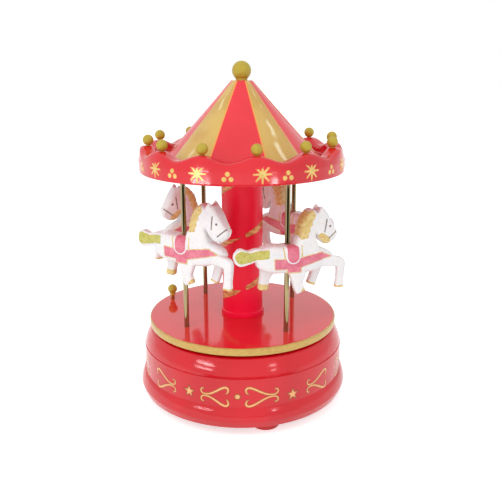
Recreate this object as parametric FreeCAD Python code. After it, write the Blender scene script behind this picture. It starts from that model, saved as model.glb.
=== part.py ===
import FreeCAD, Part
import math
import os

# Carousel music box. Millimetres, +Z up, origin on the floor under the axis of the carousel.
# Bearings are degrees round that axis, counted from the front (-Y) towards the right (+X).

# Fits: gaps between pieces, and how deep a boss or rib is rooted in the piece that it grows from
running_fit = 0.05
seat_fit = 0.02
end_play = 0.15
plate_gap = 0.1
screw_play = 0.2
screw_tip_room = 0.5
root = 0.5

# Feet and base drum
wall_radius = 49.7
drum_wall = 2.0
seam_height = 23.2
drum_foot_flare = 1.4
flange_overhang = 2.4
flange_height = 3.0
flange_band = 0.6
flange_bulge = 0.25
flare_height = 9.5
flare_bulge = 0.5
foot_height = 5.0
foot_radius = 6.4
foot_round = 2.2
foot_bulge = 0.6
foot_inset = 9.7
foot_bearing = 15.0
foot_count = 3
foot_recess = 2.4
foot_recess_play = 0.4
plate_thickness = 2.5
boss_radius = 3.4
boss_height = 12.0
boss_rib = 2.4
boss_end = 2.0

# Base cap: the moulded lid of the drum, with the groove that the stop pin brakes in
cap_height = 31.7
cap_thickness = 2.5
cap_round = 3.1
cap_edge = 1.9
cap_bulge = 0.35
shoulder_inset = 2.1
shoulder_bulge = 0.15
seam_step = 0.15
skirt_depth = 4.0
skirt_wall = 2.0
brake_inset = 5.0
brake_width = 4.0
brake_web = 2.0
bush_radius = 4.0
bush_flange_radius = 5.6
bush_flange = 1.4
bush_drop = 1.2
washer_radius = 6.5

# Turntable, column and poles
deck_gap = 1.3
turntable_inset = 3.0
turntable_thickness = 3.6
turntable_edge = 0.5
edge_bulge = 0.1
column_radius = 10.0
column_wall = 1.6
column_length = 76.4
collar_lip = 0.7
collar_height = 2.4
collar_slope = 0.6
collar_bulge = 0.15
hub_height = 6.0
spigot_height = 3.0
web_thickness = 3.0
pole_radius = 1.18
pole_inset = 13.1
pole_bearing = 37.2
pole_count = 4
pole_sink = 2.2
socket_radius = 2.8
socket_depth = 2.4

# Crown and roof
crown_overhang = 2.0
crown_lean = 0.8
crown_draft = 0.1
crown_drop = 3.6
crown_floor = 2.0
crown_skirt_wall = 1.8
rim_wall = 7.0
rim_height = 4.85
rim_wave = 1.45
rim_round = 2.2
rim_draft = 0.3
rim_room = 1.0
crest_count = 12
crest_bearing = 8.0
bead_radius = 2.5
bead_inset = 4.8
bead_peg_radius = 0.8
bead_peg_length = 1.8
roof_inset = 12.0
roof_top_radius = 4.6
roof_height = 35.3
roof_wall = 1.8
roof_cap = 5.4
roof_ring_height = 1.4
roof_ring_wall = 1.6
gold_panel_count = 6
gold_panel_bearing = 24.2
gold_panel_angle = 28.0
gold_panel_rise = 0.35
finial_radius = 4.4
finial_neck_radius = 2.7
finial_peg_radius = 1.6
finial_peg_length = 2.6

# Stop pin
stop_bearing = -116.0
stop_rod_radius = 1.0
stop_knob_radius = 2.45
stop_knob_height = 5.6
stop_neck_radius = 1.7
stop_neck_flare = 1.0
stop_pad_radius = 1.6
stop_pad_height = 1.0
stop_travel = 2.25
stop_gap = 0.3
brake_gap = 0.2

# Movement: bedplate, spring barrel and winding arbor
mount_post = 4.0
mount_post_radius = 3.0
rear_post = (1.8, 6.8)
side_post = (10.0, 8.7)
front_post = (3.44, 12.5)
bedplate_thickness = 2.0
bedplate_margin = 3.4
bedplate_lip = 0.56
bedplate_corner = 2.0
arbor_radius = 2.0
arbor_thread_radius = 1.6
arbor_room = 1.0
thread_end = 0.6
nut_height = 2.4
nut_radius = 3.4
barrel_radius = 11.8
barrel_wall = 0.8
barrel_floor = 1.0
barrel_ear = 5.2
barrel_ear_width = 6.0
barrel_ear_thickness = 1.0
barrel_screw_offset = 2.8
spring_turns = 7
spring_strip = 0.45
spring_inner_radius = 3.3
spring_slack = 0.25
spring_lift = 0.3
spring_headroom = 1.7

# Movement: great wheel, pin cylinder and comb
pressure_angle = 20.0
addendum = 0.85
dedendum = 1.2
tooth_thinning = 0.2
wheel_thickness = 1.5
wheel_hole_radius = 2.4
wheel_hole_circle = 7.5
wheel_hole_count = 6
contrate_teeth = 36
contrate_face = 2.0
contrate_gap = 1.2
contrate_depth = 1.1
pinion_teeth = 12
cylinder_radius = 6.2
cylinder_gap = 0.8
cylinder_headroom = 0.65
cylinder_arbor_radius = 1.0
arbor_overhang = 0.3
pin_radius = 0.25
pin_height = 0.8
pin_root = 0.4
pins_per_note = 2
note_count = 18
note_pitch = 0.68
note_turn = 137.5
pin_stagger = 23.0
post_gap = 1.6
post_thickness = 1.8
post_width = 7.0
comb_thickness = 0.9
comb_slot = 0.2
comb_gap = 0.12
comb_tooth = 11.9
comb_root = 5.5
comb_shortest = 0.65
comb_screw_inset = 2.6
comb_screw_grip = 3.5

# Movement: gear train, worm and governor
train_module = 0.4
train_face = 1.4
train_gap = 0.9
train_clearance = 0.06
cylinder_wheel_teeth = 30
idler_pinion_teeth = 10
idler_angle = -20.0
idler_arbor_radius = 0.7
worm_wheel_teeth = 16
worm_radius = 2.2
worm_depth = 0.55
worm_turns = 4
worm_end = 0.8
worm_drop = 1.6
governor_shaft_radius = 0.6
fan_radius = 2.85
fan_height = 5.2
fan_blade = 0.5
fan_hub_radius = 1.1
fan_gap = 0.35
leg_thickness = 1.1
leg_half_width = 3.2
leg_margin = 2.2
tab_thickness = 1.2
tab_reach = 2.2
tab_inset = 3.0
bracket_web = 1.0
bracket_margin = 4.0
bracket_edge = 2.6
bracket_screw_gap = 2.3
bracket_grip = 1.6
small_screw_radius = 0.8
small_head_radius = 1.4
small_head = 0.9
screw_radius = 1.0
screw_head_radius = 2.1
screw_head = 1.4

# Horses: how far each seat lies below the crown's floor, how far each nose points inward, and
# the raised saddle and harness in the horse's own frame (length from the pole, height from the seat)
oval_sides = 8
seat_drops = [33.2, 28.5, 30.9, 30.1]
nose_inward = [-17.8, 9.5, -7.5, 24.4]
saddle_rise = 0.45
saddle_start = -2.5
saddle_width = 7.0
saddle_depth = 8.8
band_rise = 0.25
band_height = 4.6
band_line = [(-8.3, -8.2), (1.4, -8.9), (19.0, -6.0)]
girth_start = -1.6
girth_width = 5.6
hoof_length = 2.2
hoof_flare = 0.3

# Radii that follow the base drum, from the floor up to the roof
drum_bore = wall_radius - drum_wall
drum_foot_radius = wall_radius + drum_foot_flare
flange_radius = wall_radius + flange_overhang
foot_circle = wall_radius - foot_inset
shoulder_radius = wall_radius - shoulder_inset
turntable_radius = wall_radius - turntable_inset
brake_circle = turntable_radius - brake_inset
pole_circle = turntable_radius - pole_inset
crown_radius = turntable_radius + crown_overhang
bead_circle = crown_radius - bead_inset
roof_base_radius = crown_radius - roof_inset
column_bore = column_radius - column_wall
collar_radius = column_radius + collar_lip

# Levels of the base, the carousel and the roof
drum_bottom = foot_height
plate_top = drum_bottom + plate_thickness
seam_z = drum_bottom + seam_height
cap_top = drum_bottom + cap_height
cap_under = cap_top - cap_thickness
turntable_bottom = cap_top + deck_gap
turntable_top = turntable_bottom + turntable_thickness
stop_pad_bottom = turntable_bottom - end_play - stop_pad_height
brake_floor = stop_pad_bottom - stop_travel - brake_gap
floor_under = turntable_top + column_length
floor_top = floor_under + crown_floor
crown_bottom = floor_under - crown_drop
rim_top = floor_top + rim_height
crest_top = rim_top + rim_wave
roof_top = floor_top + roof_height
roof_slant = (roof_base_radius - roof_top_radius) / roof_height

# Levels and axes of the movement
contrate_radius = barrel_radius + contrate_gap + contrate_face / 2
gear_module = 2 * contrate_radius / contrate_teeth
pinion_radius = gear_module * pinion_teeth / 2
barrel_height = gear_module + pinion_radius + cylinder_radius + pin_height + cylinder_headroom
bedplate_top = cap_under - mount_post
bedplate_under = bedplate_top - bedplate_thickness
barrel_bottom = bedplate_under - barrel_height
barrel_ear_end = barrel_radius + barrel_ear
barrel_screw_circle = barrel_radius + barrel_screw_offset
mesh_z = barrel_bottom + gear_module
cylinder_z = mesh_z + pinion_radius
great_wheel_top = mesh_z - contrate_depth * gear_module
pinion_x = contrate_radius - contrate_face / 2
post_x = contrate_radius + contrate_face / 2 + post_gap
cylinder_start = post_x + post_thickness + cylinder_gap
cylinder_end = cylinder_start + note_count * note_pitch
comb_tip = -(cylinder_radius + pin_height + comb_gap)
comb_back = comb_tip - comb_tooth - comb_root
comb_screws = [cylinder_start + comb_screw_inset, cylinder_end - comb_screw_inset]
inner_leg_x = cylinder_end + train_gap
train_x = inner_leg_x + leg_thickness + train_gap
worm_wheel_x = train_x + train_face + train_gap
outer_leg_x = worm_wheel_x + train_face + train_gap
train_end = outer_leg_x + leg_thickness
wheel_radius = train_module * cylinder_wheel_teeth / 2
idler_radius = train_module * idler_pinion_teeth / 2
idler_distance = wheel_radius + idler_radius + train_clearance
idler_y = idler_distance * math.cos(math.radians(idler_angle))
idler_z = cylinder_z + idler_distance * math.sin(math.radians(idler_angle))
worm_wheel_radius = train_module * worm_wheel_teeth / 2
worm_pitch = math.pi * train_module
worm_bottom = idler_z - worm_turns * worm_pitch / 2
governor_x = worm_wheel_x + train_face / 2
governor_y = idler_y + worm_wheel_radius + worm_radius + train_clearance
leg_end = governor_y - fan_radius - fan_gap
tab_top = worm_bottom - worm_drop
leg_low = tab_top - tab_thickness
web_low = bedplate_under - bracket_web
bracket_low = -wheel_radius - bracket_margin
bracket_high = governor_y + bracket_edge
bracket_screw_y = wheel_radius + bracket_screw_gap
bracket_screws = [(train_x + train_face / 2, side * bracket_screw_y) for side in (-1, 1)]
mount_posts = [(-barrel_radius - rear_post[0], rear_post[1]), (side_post[0], -barrel_radius - side_post[1]),
               (cylinder_end - front_post[0], front_post[1])]

V = FreeCAD.Vector
UP = V(0, 0, 1)
ALONG = V(1, 0, 0)
ACROSS = V(0, 1, 0)


def polar(radius, bearing, z=0.0):
    angle = math.radians(bearing)
    return V(radius * math.sin(angle), -radius * math.cos(angle), z)


def rod(radius, base, length, axis=UP):
    return Part.makeCylinder(radius, length, base, axis)


def block(low, high):
    return Part.makeBox(high[0] - low[0], high[1] - low[1], high[2] - low[2], V(*low))


def joined(shapes):
    return shapes[0].multiFuse(shapes[1:]).removeSplitter()


def drilled(shape, holes):
    for hole in holes:
        shape = shape.cut(hole)
    return shape


def outline(points):
    """Closed wire in the XZ plane; a third number in a point bows its edge outwards by that much."""
    edges = []
    for before, point in zip([points[-1]] + points[:-1], points):
        start = V(before[0], 0, before[1])
        end = V(point[0], 0, point[1])
        if len(point) == 3:
            side = ACROSS.cross(end - start).normalize()
            middle = (start + end) * 0.5 + side * point[2]
            edges.append(Part.Arc(start, middle, end).toShape())
        else:
            edges.append(Part.LineSegment(start, end).toShape())
    return Part.Wire(edges)


def revolved(points):
    return Part.Face(outline(points)).revolve(V(0, 0, 0), UP, 360)


def plate(points, z, thickness):
    corners = [V(x, y, z) for x, y in points]
    return Part.Face(Part.makePolygon(corners + corners[:1])).extrude(V(0, 0, thickness))


def turned(shape, axis, degrees, centre=V(0, 0, 0)):
    copy = shape.copy()
    copy.rotate(centre, axis, degrees)
    return copy


def moved(shape, offset):
    copy = shape.copy()
    copy.translate(offset)
    return copy


def ring_of(shape, count):
    return [turned(shape, UP, 360.0 * i / count) for i in range(count)]


def pole_spots(z):
    return [polar(pole_circle, pole_bearing + 360.0 * i / pole_count, z) for i in range(pole_count)]


def screw(tip, length, radius, head_radius, head):
    """Screw driven upward: its tip is the highest point and its head lies below."""
    shank = rod(radius, tip - UP * length, length)
    return shank.fuse(rod(head_radius, tip - UP * (length + head), head)).removeSplitter()


def large_screw(x, y, seat_z, length):
    return screw(V(x, y, seat_z + length), length, screw_radius, screw_head_radius, screw_head)


def small_screw(x, y, seat_z, length):
    return screw(V(x, y, seat_z + length), length, small_screw_radius, small_head_radius, small_head)


def gear(teeth, module, width, bore, tooth_at):
    """Spur gear about Z with involute flanks, thinned for backlash, one tooth at the given angle."""
    pressure = math.radians(pressure_angle)
    pitch_radius = module * teeth / 2
    base_radius = pitch_radius * math.cos(pressure)
    root_radius = pitch_radius - dedendum * module
    tip_radius = pitch_radius + addendum * module
    start = max(base_radius, root_radius)
    half_tooth = (1 - tooth_thinning) * math.pi / (2 * teeth)

    def half_angle(radius):
        slope = math.acos(min(1.0, base_radius / radius))
        return half_tooth + math.tan(pressure) - pressure - math.tan(slope) + slope

    flank = [(radius, half_angle(radius)) for radius in (start, pitch_radius, tip_radius)]
    if root_radius < start:
        flank.insert(0, (root_radius, half_angle(start)))
    points = []
    for tooth in range(teeth):
        middle = math.radians(tooth_at) + 2 * math.pi * tooth / teeth
        sides = [(r, middle - a) for r, a in flank] + [(r, middle + a) for r, a in reversed(flank)]
        points += [(r * math.cos(angle), r * math.sin(angle)) for r, angle in sides]
    return plate(points, 0, width).cut(rod(bore, V(0, 0, 0), width))


def along_x(shape, x, y, z):
    """Lay a part made about Z along X: its own X points to +Y and its own Y to +Z."""
    laid = turned(shape, V(1, 1, 1), 120)
    return moved(laid, V(x, y, z))


def make_base():
    drum = revolved([
        (drum_bore, drum_bottom), (drum_foot_radius, drum_bottom),
        (flange_radius, drum_bottom + flange_height, flange_bulge),
        (flange_radius, drum_bottom + flange_height + flange_band),
        (wall_radius, drum_bottom + flare_height, flare_bulge),
        (wall_radius, seam_z), (drum_bore, seam_z)])
    spot = polar(foot_circle, foot_bearing)
    boss = rod(boss_radius, spot + UP * plate_top, boss_height)
    rib = block((foot_circle, -boss_rib / 2, plate_top),
                (drum_bore + root, boss_rib / 2, plate_top + boss_height))
    boss = boss.fuse(turned(rib, UP, foot_bearing - 90))
    drum = joined([drum] + ring_of(boss, foot_count))
    pilot = rod(screw_radius + seat_fit, spot + UP * plate_top, boss_height - boss_end)
    drum = drilled(drum, ring_of(pilot, foot_count))

    cover = rod(drum_bore - plate_gap, V(0, 0, drum_bottom), plate_thickness)
    passage = rod(screw_radius + screw_play, spot, plate_top)
    cover = drilled(cover, ring_of(passage, foot_count))

    bore = screw_radius + screw_play
    recess = screw_head_radius + foot_recess_play
    foot = revolved([
        (bore, foot_recess), (recess, foot_recess), (recess, 0), (foot_radius - foot_round, 0),
        (foot_radius, foot_round, foot_bulge), (foot_radius, foot_height), (bore, foot_height)])
    length = plate_top - foot_recess + boss_height - 2 * boss_end
    fixing = large_screw(spot.x, spot.y, foot_recess, length)
    return {
        "base_drum": drum,
        "bottom_plate": cover,
        "feet": Part.makeCompound(ring_of(moved(foot, spot), foot_count)),
        "foot_screws": Part.makeCompound(ring_of(fixing, foot_count)),
    }


def make_cap():
    groove_out = brake_circle + brake_width / 2
    groove_in = brake_circle - brake_width / 2
    trough = brake_floor - brake_web
    skirt_out = drum_bore - running_fit
    skirt_in = skirt_out - skirt_wall
    cap = revolved([
        (wall_radius - seam_step, seam_z), (shoulder_radius, cap_top - cap_round, shoulder_bulge),
        (shoulder_radius - cap_edge, cap_top, cap_bulge),
        (groove_out, cap_top), (groove_out, brake_floor), (groove_in, brake_floor), (groove_in, cap_top),
        (bush_radius, cap_top), (bush_radius, cap_under),
        (groove_in - cap_thickness, cap_under), (groove_in - cap_thickness, trough),
        (skirt_in, trough), (skirt_in, seam_z - skirt_depth), (skirt_out, seam_z - skirt_depth),
        (skirt_out, seam_z)])
    posts = [rod(mount_post_radius, V(x, y, bedplate_top), mount_post + root) for x, y in mount_posts]
    pilot_depth = mount_post + cap_thickness / 2
    pilots = [rod(screw_radius + seat_fit, V(x, y, bedplate_top), pilot_depth) for x, y in mount_posts]
    cap = drilled(joined([cap] + posts), pilots)

    bore = arbor_radius + running_fit
    bush_wall = bush_radius - seat_fit
    bush_under = cap_under - bush_flange - bush_drop
    bush = revolved([
        (bore, bush_under), (bush_wall, bush_under), (bush_wall, cap_under - bush_flange),
        (bush_flange_radius, cap_under - bush_flange), (bush_flange_radius, cap_under),
        (bush_wall, cap_under), (bush_wall, cap_top), (bore, cap_top)])
    washer = rod(washer_radius, V(0, 0, cap_top + running_fit), deck_gap - 2 * running_fit)
    washer = washer.cut(rod(bore, V(0, 0, cap_top), deck_gap))
    return {"base_cap": cap, "cap_bush": bush, "thrust_washer": washer}


def make_bedplate():
    low_x = mount_posts[0][0] - bedplate_margin
    high_x = cylinder_end + bedplate_lip
    bed = block((low_x, comb_back, bedplate_under), (high_x, barrel_ear_end, bedplate_top))
    tongue = block((high_x - root, bracket_low, bedplate_under), (train_end, bracket_high, bedplate_top))
    bed = bed.fuse(tongue).removeSplitter()

    def is_outer_corner(edge):
        corner = edge.Vertexes[0].Point
        upright = abs(edge.tangentAt(edge.FirstParameter).z) > 0.9
        beside_tongue = abs(corner.x - high_x) < root and corner.y > bracket_low - root
        return upright and not beside_tongue

    bed = bed.makeFillet(bedplate_corner, [edge for edge in bed.Edges if is_outer_corner(edge)])
    pillar = block((cylinder_start, comb_back, cylinder_z + comb_thickness / 2),
                   (cylinder_end, comb_back + comb_root, bedplate_under))
    post = block((post_x, -post_width / 2, cylinder_z),
                 (post_x + post_thickness, post_width / 2, bedplate_under))
    nose = rod(post_width / 2, V(post_x, 0, cylinder_z), post_thickness, ALONG)
    bed = joined([bed, pillar, post, nose])
    tapped = small_screw_radius + seat_fit
    small_spots = bracket_screws + [(0, barrel_screw_circle), (0, -barrel_screw_circle)]
    comb_hole = comb_thickness / 2 + comb_screw_grip + screw_tip_room
    holes = [rod(arbor_radius + arbor_room, V(0, 0, bedplate_under), bedplate_thickness)]
    passage = screw_radius + screw_play
    holes += [rod(passage, V(x, y, bedplate_under), bedplate_thickness) for x, y in mount_posts]
    holes += [rod(tapped, V(x, y, bedplate_under), bedplate_thickness) for x, y in small_spots]
    holes += [rod(tapped, V(x, comb_back + comb_root / 2, cylinder_z), comb_hole) for x in comb_screws]
    holes.append(rod(cylinder_arbor_radius + running_fit, V(post_x, 0, cylinder_z), post_thickness, ALONG))
    length = bedplate_thickness + mount_post - screw_tip_room
    fixings = [large_screw(x, y, bedplate_under, length) for x, y in mount_posts]
    return {"bedplate": drilled(bed, holes), "bedplate_screws": Part.makeCompound(fixings)}


def make_spring():
    mouth = bedplate_under
    inner = barrel_radius - barrel_wall
    bore = arbor_radius + running_fit
    barrel = revolved([
        (bore, barrel_bottom), (barrel_radius, barrel_bottom), (barrel_radius, mouth), (inner, mouth),
        (inner, barrel_bottom + barrel_floor), (bore, barrel_bottom + barrel_floor)])
    ear_low = mouth - barrel_ear_thickness
    half_ear = barrel_ear_width / 2
    ears = block((-half_ear, -barrel_ear_end, ear_low), (half_ear, barrel_ear_end, mouth))
    ears = ears.cut(rod(inner + barrel_wall / 2, V(0, 0, ear_low), barrel_ear_thickness))
    passage = small_screw_radius + screw_play
    holes = [rod(passage, V(0, side * barrel_screw_circle, ear_low), barrel_ear_thickness)
             for side in (1, -1)]
    barrel = drilled(joined([barrel, ears]), holes)

    step = (inner - spring_slack - spring_strip - spring_inner_radius) / (2 * spring_turns)
    edges = []
    for first in (spring_inner_radius, spring_inner_radius + spring_strip):
        for half in range(2 * spring_turns):
            sign = 1 if half % 2 == 0 else -1
            start = sign * (first + step * half)
            end = -sign * (first + step * (half + 1))
            middle = V((start + end) / 2, sign * abs(end - start) / 2, 0)
            edges.append(Part.Arc(V(start, 0, 0), middle, V(end, 0, 0)).toShape())
    last = spring_inner_radius + 2 * spring_turns * step
    for end in (spring_inner_radius, last):
        edges.append(Part.makeLine(V(end, 0, 0), V(end + spring_strip, 0, 0)))
    strip = Part.Face(Part.Wire(Part.__sortEdges__(edges)))
    coil = strip.extrude(V(0, 0, barrel_height - barrel_floor - spring_lift - spring_headroom))
    coil_low = barrel_bottom + barrel_floor + spring_lift
    return {"spring_barrel": barrel, "mainspring": moved(coil, V(0, 0, coil_low))}


def make_arbor():
    wheel_low = great_wheel_top - wheel_thickness
    low_thread = wheel_low - nut_height - thread_end
    nut_z = turntable_top + hub_height
    high_thread = nut_z + nut_height + thread_end
    arbor = joined([
        rod(arbor_thread_radius, V(0, 0, low_thread), wheel_low - low_thread),
        rod(arbor_radius, V(0, 0, wheel_low), turntable_bottom - wheel_low),
        rod(arbor_thread_radius, V(0, 0, turntable_bottom), high_thread - turntable_bottom)])
    wheel = rod(contrate_radius + contrate_face / 2, V(0, 0, wheel_low), wheel_thickness)
    half_width = (1 - tooth_thinning) * math.pi * gear_module / 4
    slope = math.tan(math.radians(pressure_angle)) * gear_module
    low = half_width + contrate_depth * slope
    high = half_width - addendum * slope
    tall = (contrate_depth + addendum) * gear_module
    tooth = plate([(-low, 0), (low, 0), (high, tall), (-high, tall)], 0, contrate_face)
    tooth = turned(turned(tooth, ALONG, 90), UP, 90)
    tooth = moved(tooth, V(contrate_radius - contrate_face / 2, 0, great_wheel_top))
    wheel = joined([wheel] + ring_of(tooth, contrate_teeth))
    lighten = rod(wheel_hole_radius, V(wheel_hole_circle, 0, wheel_low), wheel_thickness)
    bore = rod(arbor_radius + seat_fit, V(0, 0, wheel_low), wheel_thickness)
    wheel = drilled(wheel, [bore] + ring_of(lighten, wheel_hole_count))
    corners = [polar(nut_radius, 60 * i) for i in range(6)]
    hexagon = [(corner.x, corner.y) for corner in corners]
    tapped = rod(arbor_thread_radius + seat_fit, V(0, 0, 0), high_thread)
    return {
        "winding_arbor": arbor,
        "great_wheel": wheel,
        "wheel_nut": plate(hexagon, wheel_low - nut_height, nut_height).cut(tapped),
        "hub_nut": plate(hexagon, nut_z, nut_height).cut(tapped),
    }


def make_cylinder():
    length = note_count * note_pitch
    bore = cylinder_arbor_radius + seat_fit
    drum = rod(cylinder_radius, V(0, 0, 0), length)
    drum = drum.cut(rod(bore, V(0, 0, 0), length))
    pins = []
    for note in range(note_count):
        base = V(cylinder_radius - pin_root, 0, (note + 0.5) * note_pitch)
        pin = rod(pin_radius, base, pin_height + pin_root, ALONG)
        for turn in range(pins_per_note):
            angle = note_turn * note + (360.0 / pins_per_note + pin_stagger * (note % 4)) * turn
            pins.append(turned(pin, UP, angle))
    drum = joined([drum] + pins)
    arbor = rod(cylinder_arbor_radius, V(0, 0, 0), train_end - pinion_x + 2 * arbor_overhang)
    pinion = gear(pinion_teeth, gear_module, contrate_face, bore, -90 + 180.0 / pinion_teeth)
    wheel = gear(cylinder_wheel_teeth, train_module, train_face, bore, idler_angle)
    return {
        "pin_cylinder": along_x(drum, cylinder_start, 0, cylinder_z),
        "cylinder_arbor": along_x(arbor, pinion_x - arbor_overhang, 0, cylinder_z),
        "cylinder_pinion": along_x(pinion, pinion_x, 0, cylinder_z),
        "cylinder_wheel": along_x(wheel, train_x, 0, cylinder_z),
    }


def make_comb():
    low_z = cylinder_z - comb_thickness / 2
    high_z = low_z + comb_thickness
    middle = comb_back + comb_root / 2
    comb = block((cylinder_start, comb_back, low_z), (cylinder_end, comb_tip, high_z))
    slots = []
    for slot in range(1, note_count):
        x = cylinder_start + slot * note_pitch
        reach = comb_tooth * (1 - (1 - comb_shortest) * slot / note_count)
        half = comb_slot / 2
        slots.append(block((x - half, comb_tip - reach, low_z), (x + half, comb_tip, high_z)))
    holes = [rod(small_screw_radius + screw_play, V(x, middle, low_z), comb_thickness) for x in comb_screws]
    fixings = [small_screw(x, middle, low_z, comb_thickness + comb_screw_grip) for x in comb_screws]
    fixings += [small_screw(x, y, web_low, bracket_web + bracket_grip) for x, y in bracket_screws]
    ear_low = bedplate_under - barrel_ear_thickness
    fixings += [small_screw(0, side * barrel_screw_circle, ear_low, barrel_ear_thickness + bracket_grip)
                for side in (1, -1)]
    return {"comb": drilled(comb, slots + holes), "movement_screws": Part.makeCompound(fixings)}


def make_train():
    web = block((inner_leg_x, bracket_low, web_low), (train_end, bracket_high, bedplate_under))
    inner_leg = block((inner_leg_x, -leg_half_width, idler_z - leg_margin),
                      (inner_leg_x + leg_thickness, leg_end, web_low))
    outer_leg = block((outer_leg_x, -leg_half_width, leg_low), (train_end, leg_end, web_low))
    tab = block((governor_x - tab_reach, idler_y - tab_inset, leg_low), (train_end, bracket_high, tab_top))
    reach = train_end - inner_leg_x
    shaft_hole = governor_shaft_radius + running_fit
    arbor_hole = cylinder_arbor_radius + running_fit
    holes = [
        rod(cylinder_arbor_radius + screw_play, V(inner_leg_x, 0, cylinder_z), leg_thickness, ALONG),
        rod(arbor_hole, V(outer_leg_x, 0, cylinder_z), leg_thickness, ALONG),
        rod(idler_arbor_radius + running_fit, V(inner_leg_x, idler_y, idler_z), reach, ALONG),
        rod(shaft_hole, V(governor_x, governor_y, leg_low), tab_thickness),
        rod(shaft_hole, V(governor_x, governor_y, web_low), bracket_web)]
    holes += [rod(small_screw_radius + screw_play, V(x, y, web_low), bracket_web) for x, y in bracket_screws]
    bracket = drilled(joined([web, inner_leg, outer_leg, tab]), holes)

    bore = idler_arbor_radius + seat_fit
    arbor = rod(idler_arbor_radius, V(0, 0, 0), reach)
    pinion_tooth = 180 + idler_angle + 180.0 / idler_pinion_teeth
    pinion = gear(idler_pinion_teeth, train_module, train_face, bore, pinion_tooth)
    wheel = gear(worm_wheel_teeth, train_module, train_face, bore, 0)
    return {
        "train_bracket": bracket,
        "idler_arbor": along_x(arbor, inner_leg_x, idler_y, idler_z),
        "idler_pinion": along_x(pinion, train_x, idler_y, idler_z),
        "worm_wheel": along_x(wheel, worm_wheel_x, idler_y, idler_z),
    }


def make_governor():
    axis = V(governor_x, governor_y, 0)
    core_radius = worm_radius - worm_depth
    core_foot = core_radius - plate_gap
    crest_radius = worm_radius + addendum * train_module
    half_width = (1 - tooth_thinning) * worm_pitch / 4
    flank = math.tan(math.radians(pressure_angle))
    low = half_width + flank * worm_depth
    high = half_width - flank * (crest_radius - worm_radius)
    thread_z = idler_z - (worm_turns / 2 + 0.25) * worm_pitch
    path = Part.makeHelix(worm_pitch, (worm_turns - 0.5) * worm_pitch, worm_radius)
    corners = [V(core_foot, 0, -low), V(crest_radius, 0, -high), V(crest_radius, 0, high),
               V(core_foot, 0, low)]
    thread = Part.Wire(path.Edges).makePipeShell([Part.makePolygon(corners + corners[:1])], True, True)
    core_low = thread_z - worm_end
    core_length = (worm_turns + 1) * worm_pitch
    worm = joined([
        rod(core_radius, axis + UP * core_low, core_length), moved(thread, axis + UP * thread_z),
        rod(governor_shaft_radius, axis + UP * leg_low, bedplate_under - leg_low - running_fit)])
    fan_low = core_low + core_length + end_play
    hub = rod(fan_hub_radius, axis + UP * fan_low, fan_height)
    blade = block((governor_x - fan_radius, governor_y - fan_blade / 2, fan_low),
                  (governor_x + fan_radius, governor_y + fan_blade / 2, fan_low + fan_height))
    bore = rod(governor_shaft_radius + seat_fit, axis + UP * fan_low, fan_height)
    return {"governor_worm": worm, "governor_fan": joined([hub, blade]).cut(bore)}


def make_turntable():
    edge = turntable_edge
    table = revolved([
        (0, turntable_bottom), (turntable_radius - edge, turntable_bottom),
        (turntable_radius, turntable_bottom + edge, edge_bulge), (turntable_radius, turntable_top - edge),
        (turntable_radius - edge, turntable_top, edge_bulge), (0, turntable_top)])
    hub = rod(column_bore - seat_fit, V(0, 0, turntable_top - root), hub_height + root)
    bore = rod(arbor_thread_radius + seat_fit, V(0, 0, turntable_bottom), turntable_thickness + hub_height)
    socket_floor = turntable_top - pole_sink
    sockets = [rod(pole_radius + seat_fit, spot, pole_sink) for spot in pole_spots(socket_floor)]
    stop_hole = rod(stop_rod_radius + running_fit, polar(brake_circle, stop_bearing, turntable_bottom),
                    turntable_thickness)
    table = drilled(joined([table, hub]), [bore, stop_hole] + sockets)

    web_top = floor_under - spigot_height
    column = revolved([
        (column_bore, turntable_top), (collar_radius, turntable_top),
        (collar_radius, turntable_top + collar_height - collar_slope),
        (column_radius, turntable_top + collar_height, collar_bulge),
        (column_radius, floor_under), (column_bore, floor_under), (column_bore, web_top),
        (screw_radius + seat_fit, web_top), (screw_radius + seat_fit, web_top - web_thickness),
        (column_bore, web_top - web_thickness)])
    return {"turntable": table, "column": column}


def rim_curve(radius):
    """Closed curve that rises and falls once for each crest of the crown's rim."""
    steps = crest_count * 4
    points = []
    for i in range(steps):
        lift = rim_wave * math.cos(2 * math.pi * crest_count * i / steps)
        points.append(polar(radius, crest_bearing + 360.0 * i / steps, rim_top + lift))
    curve = Part.BSplineCurve()
    curve.interpolate(Points=points, PeriodicFlag=True)
    return curve.toShape()


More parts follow.
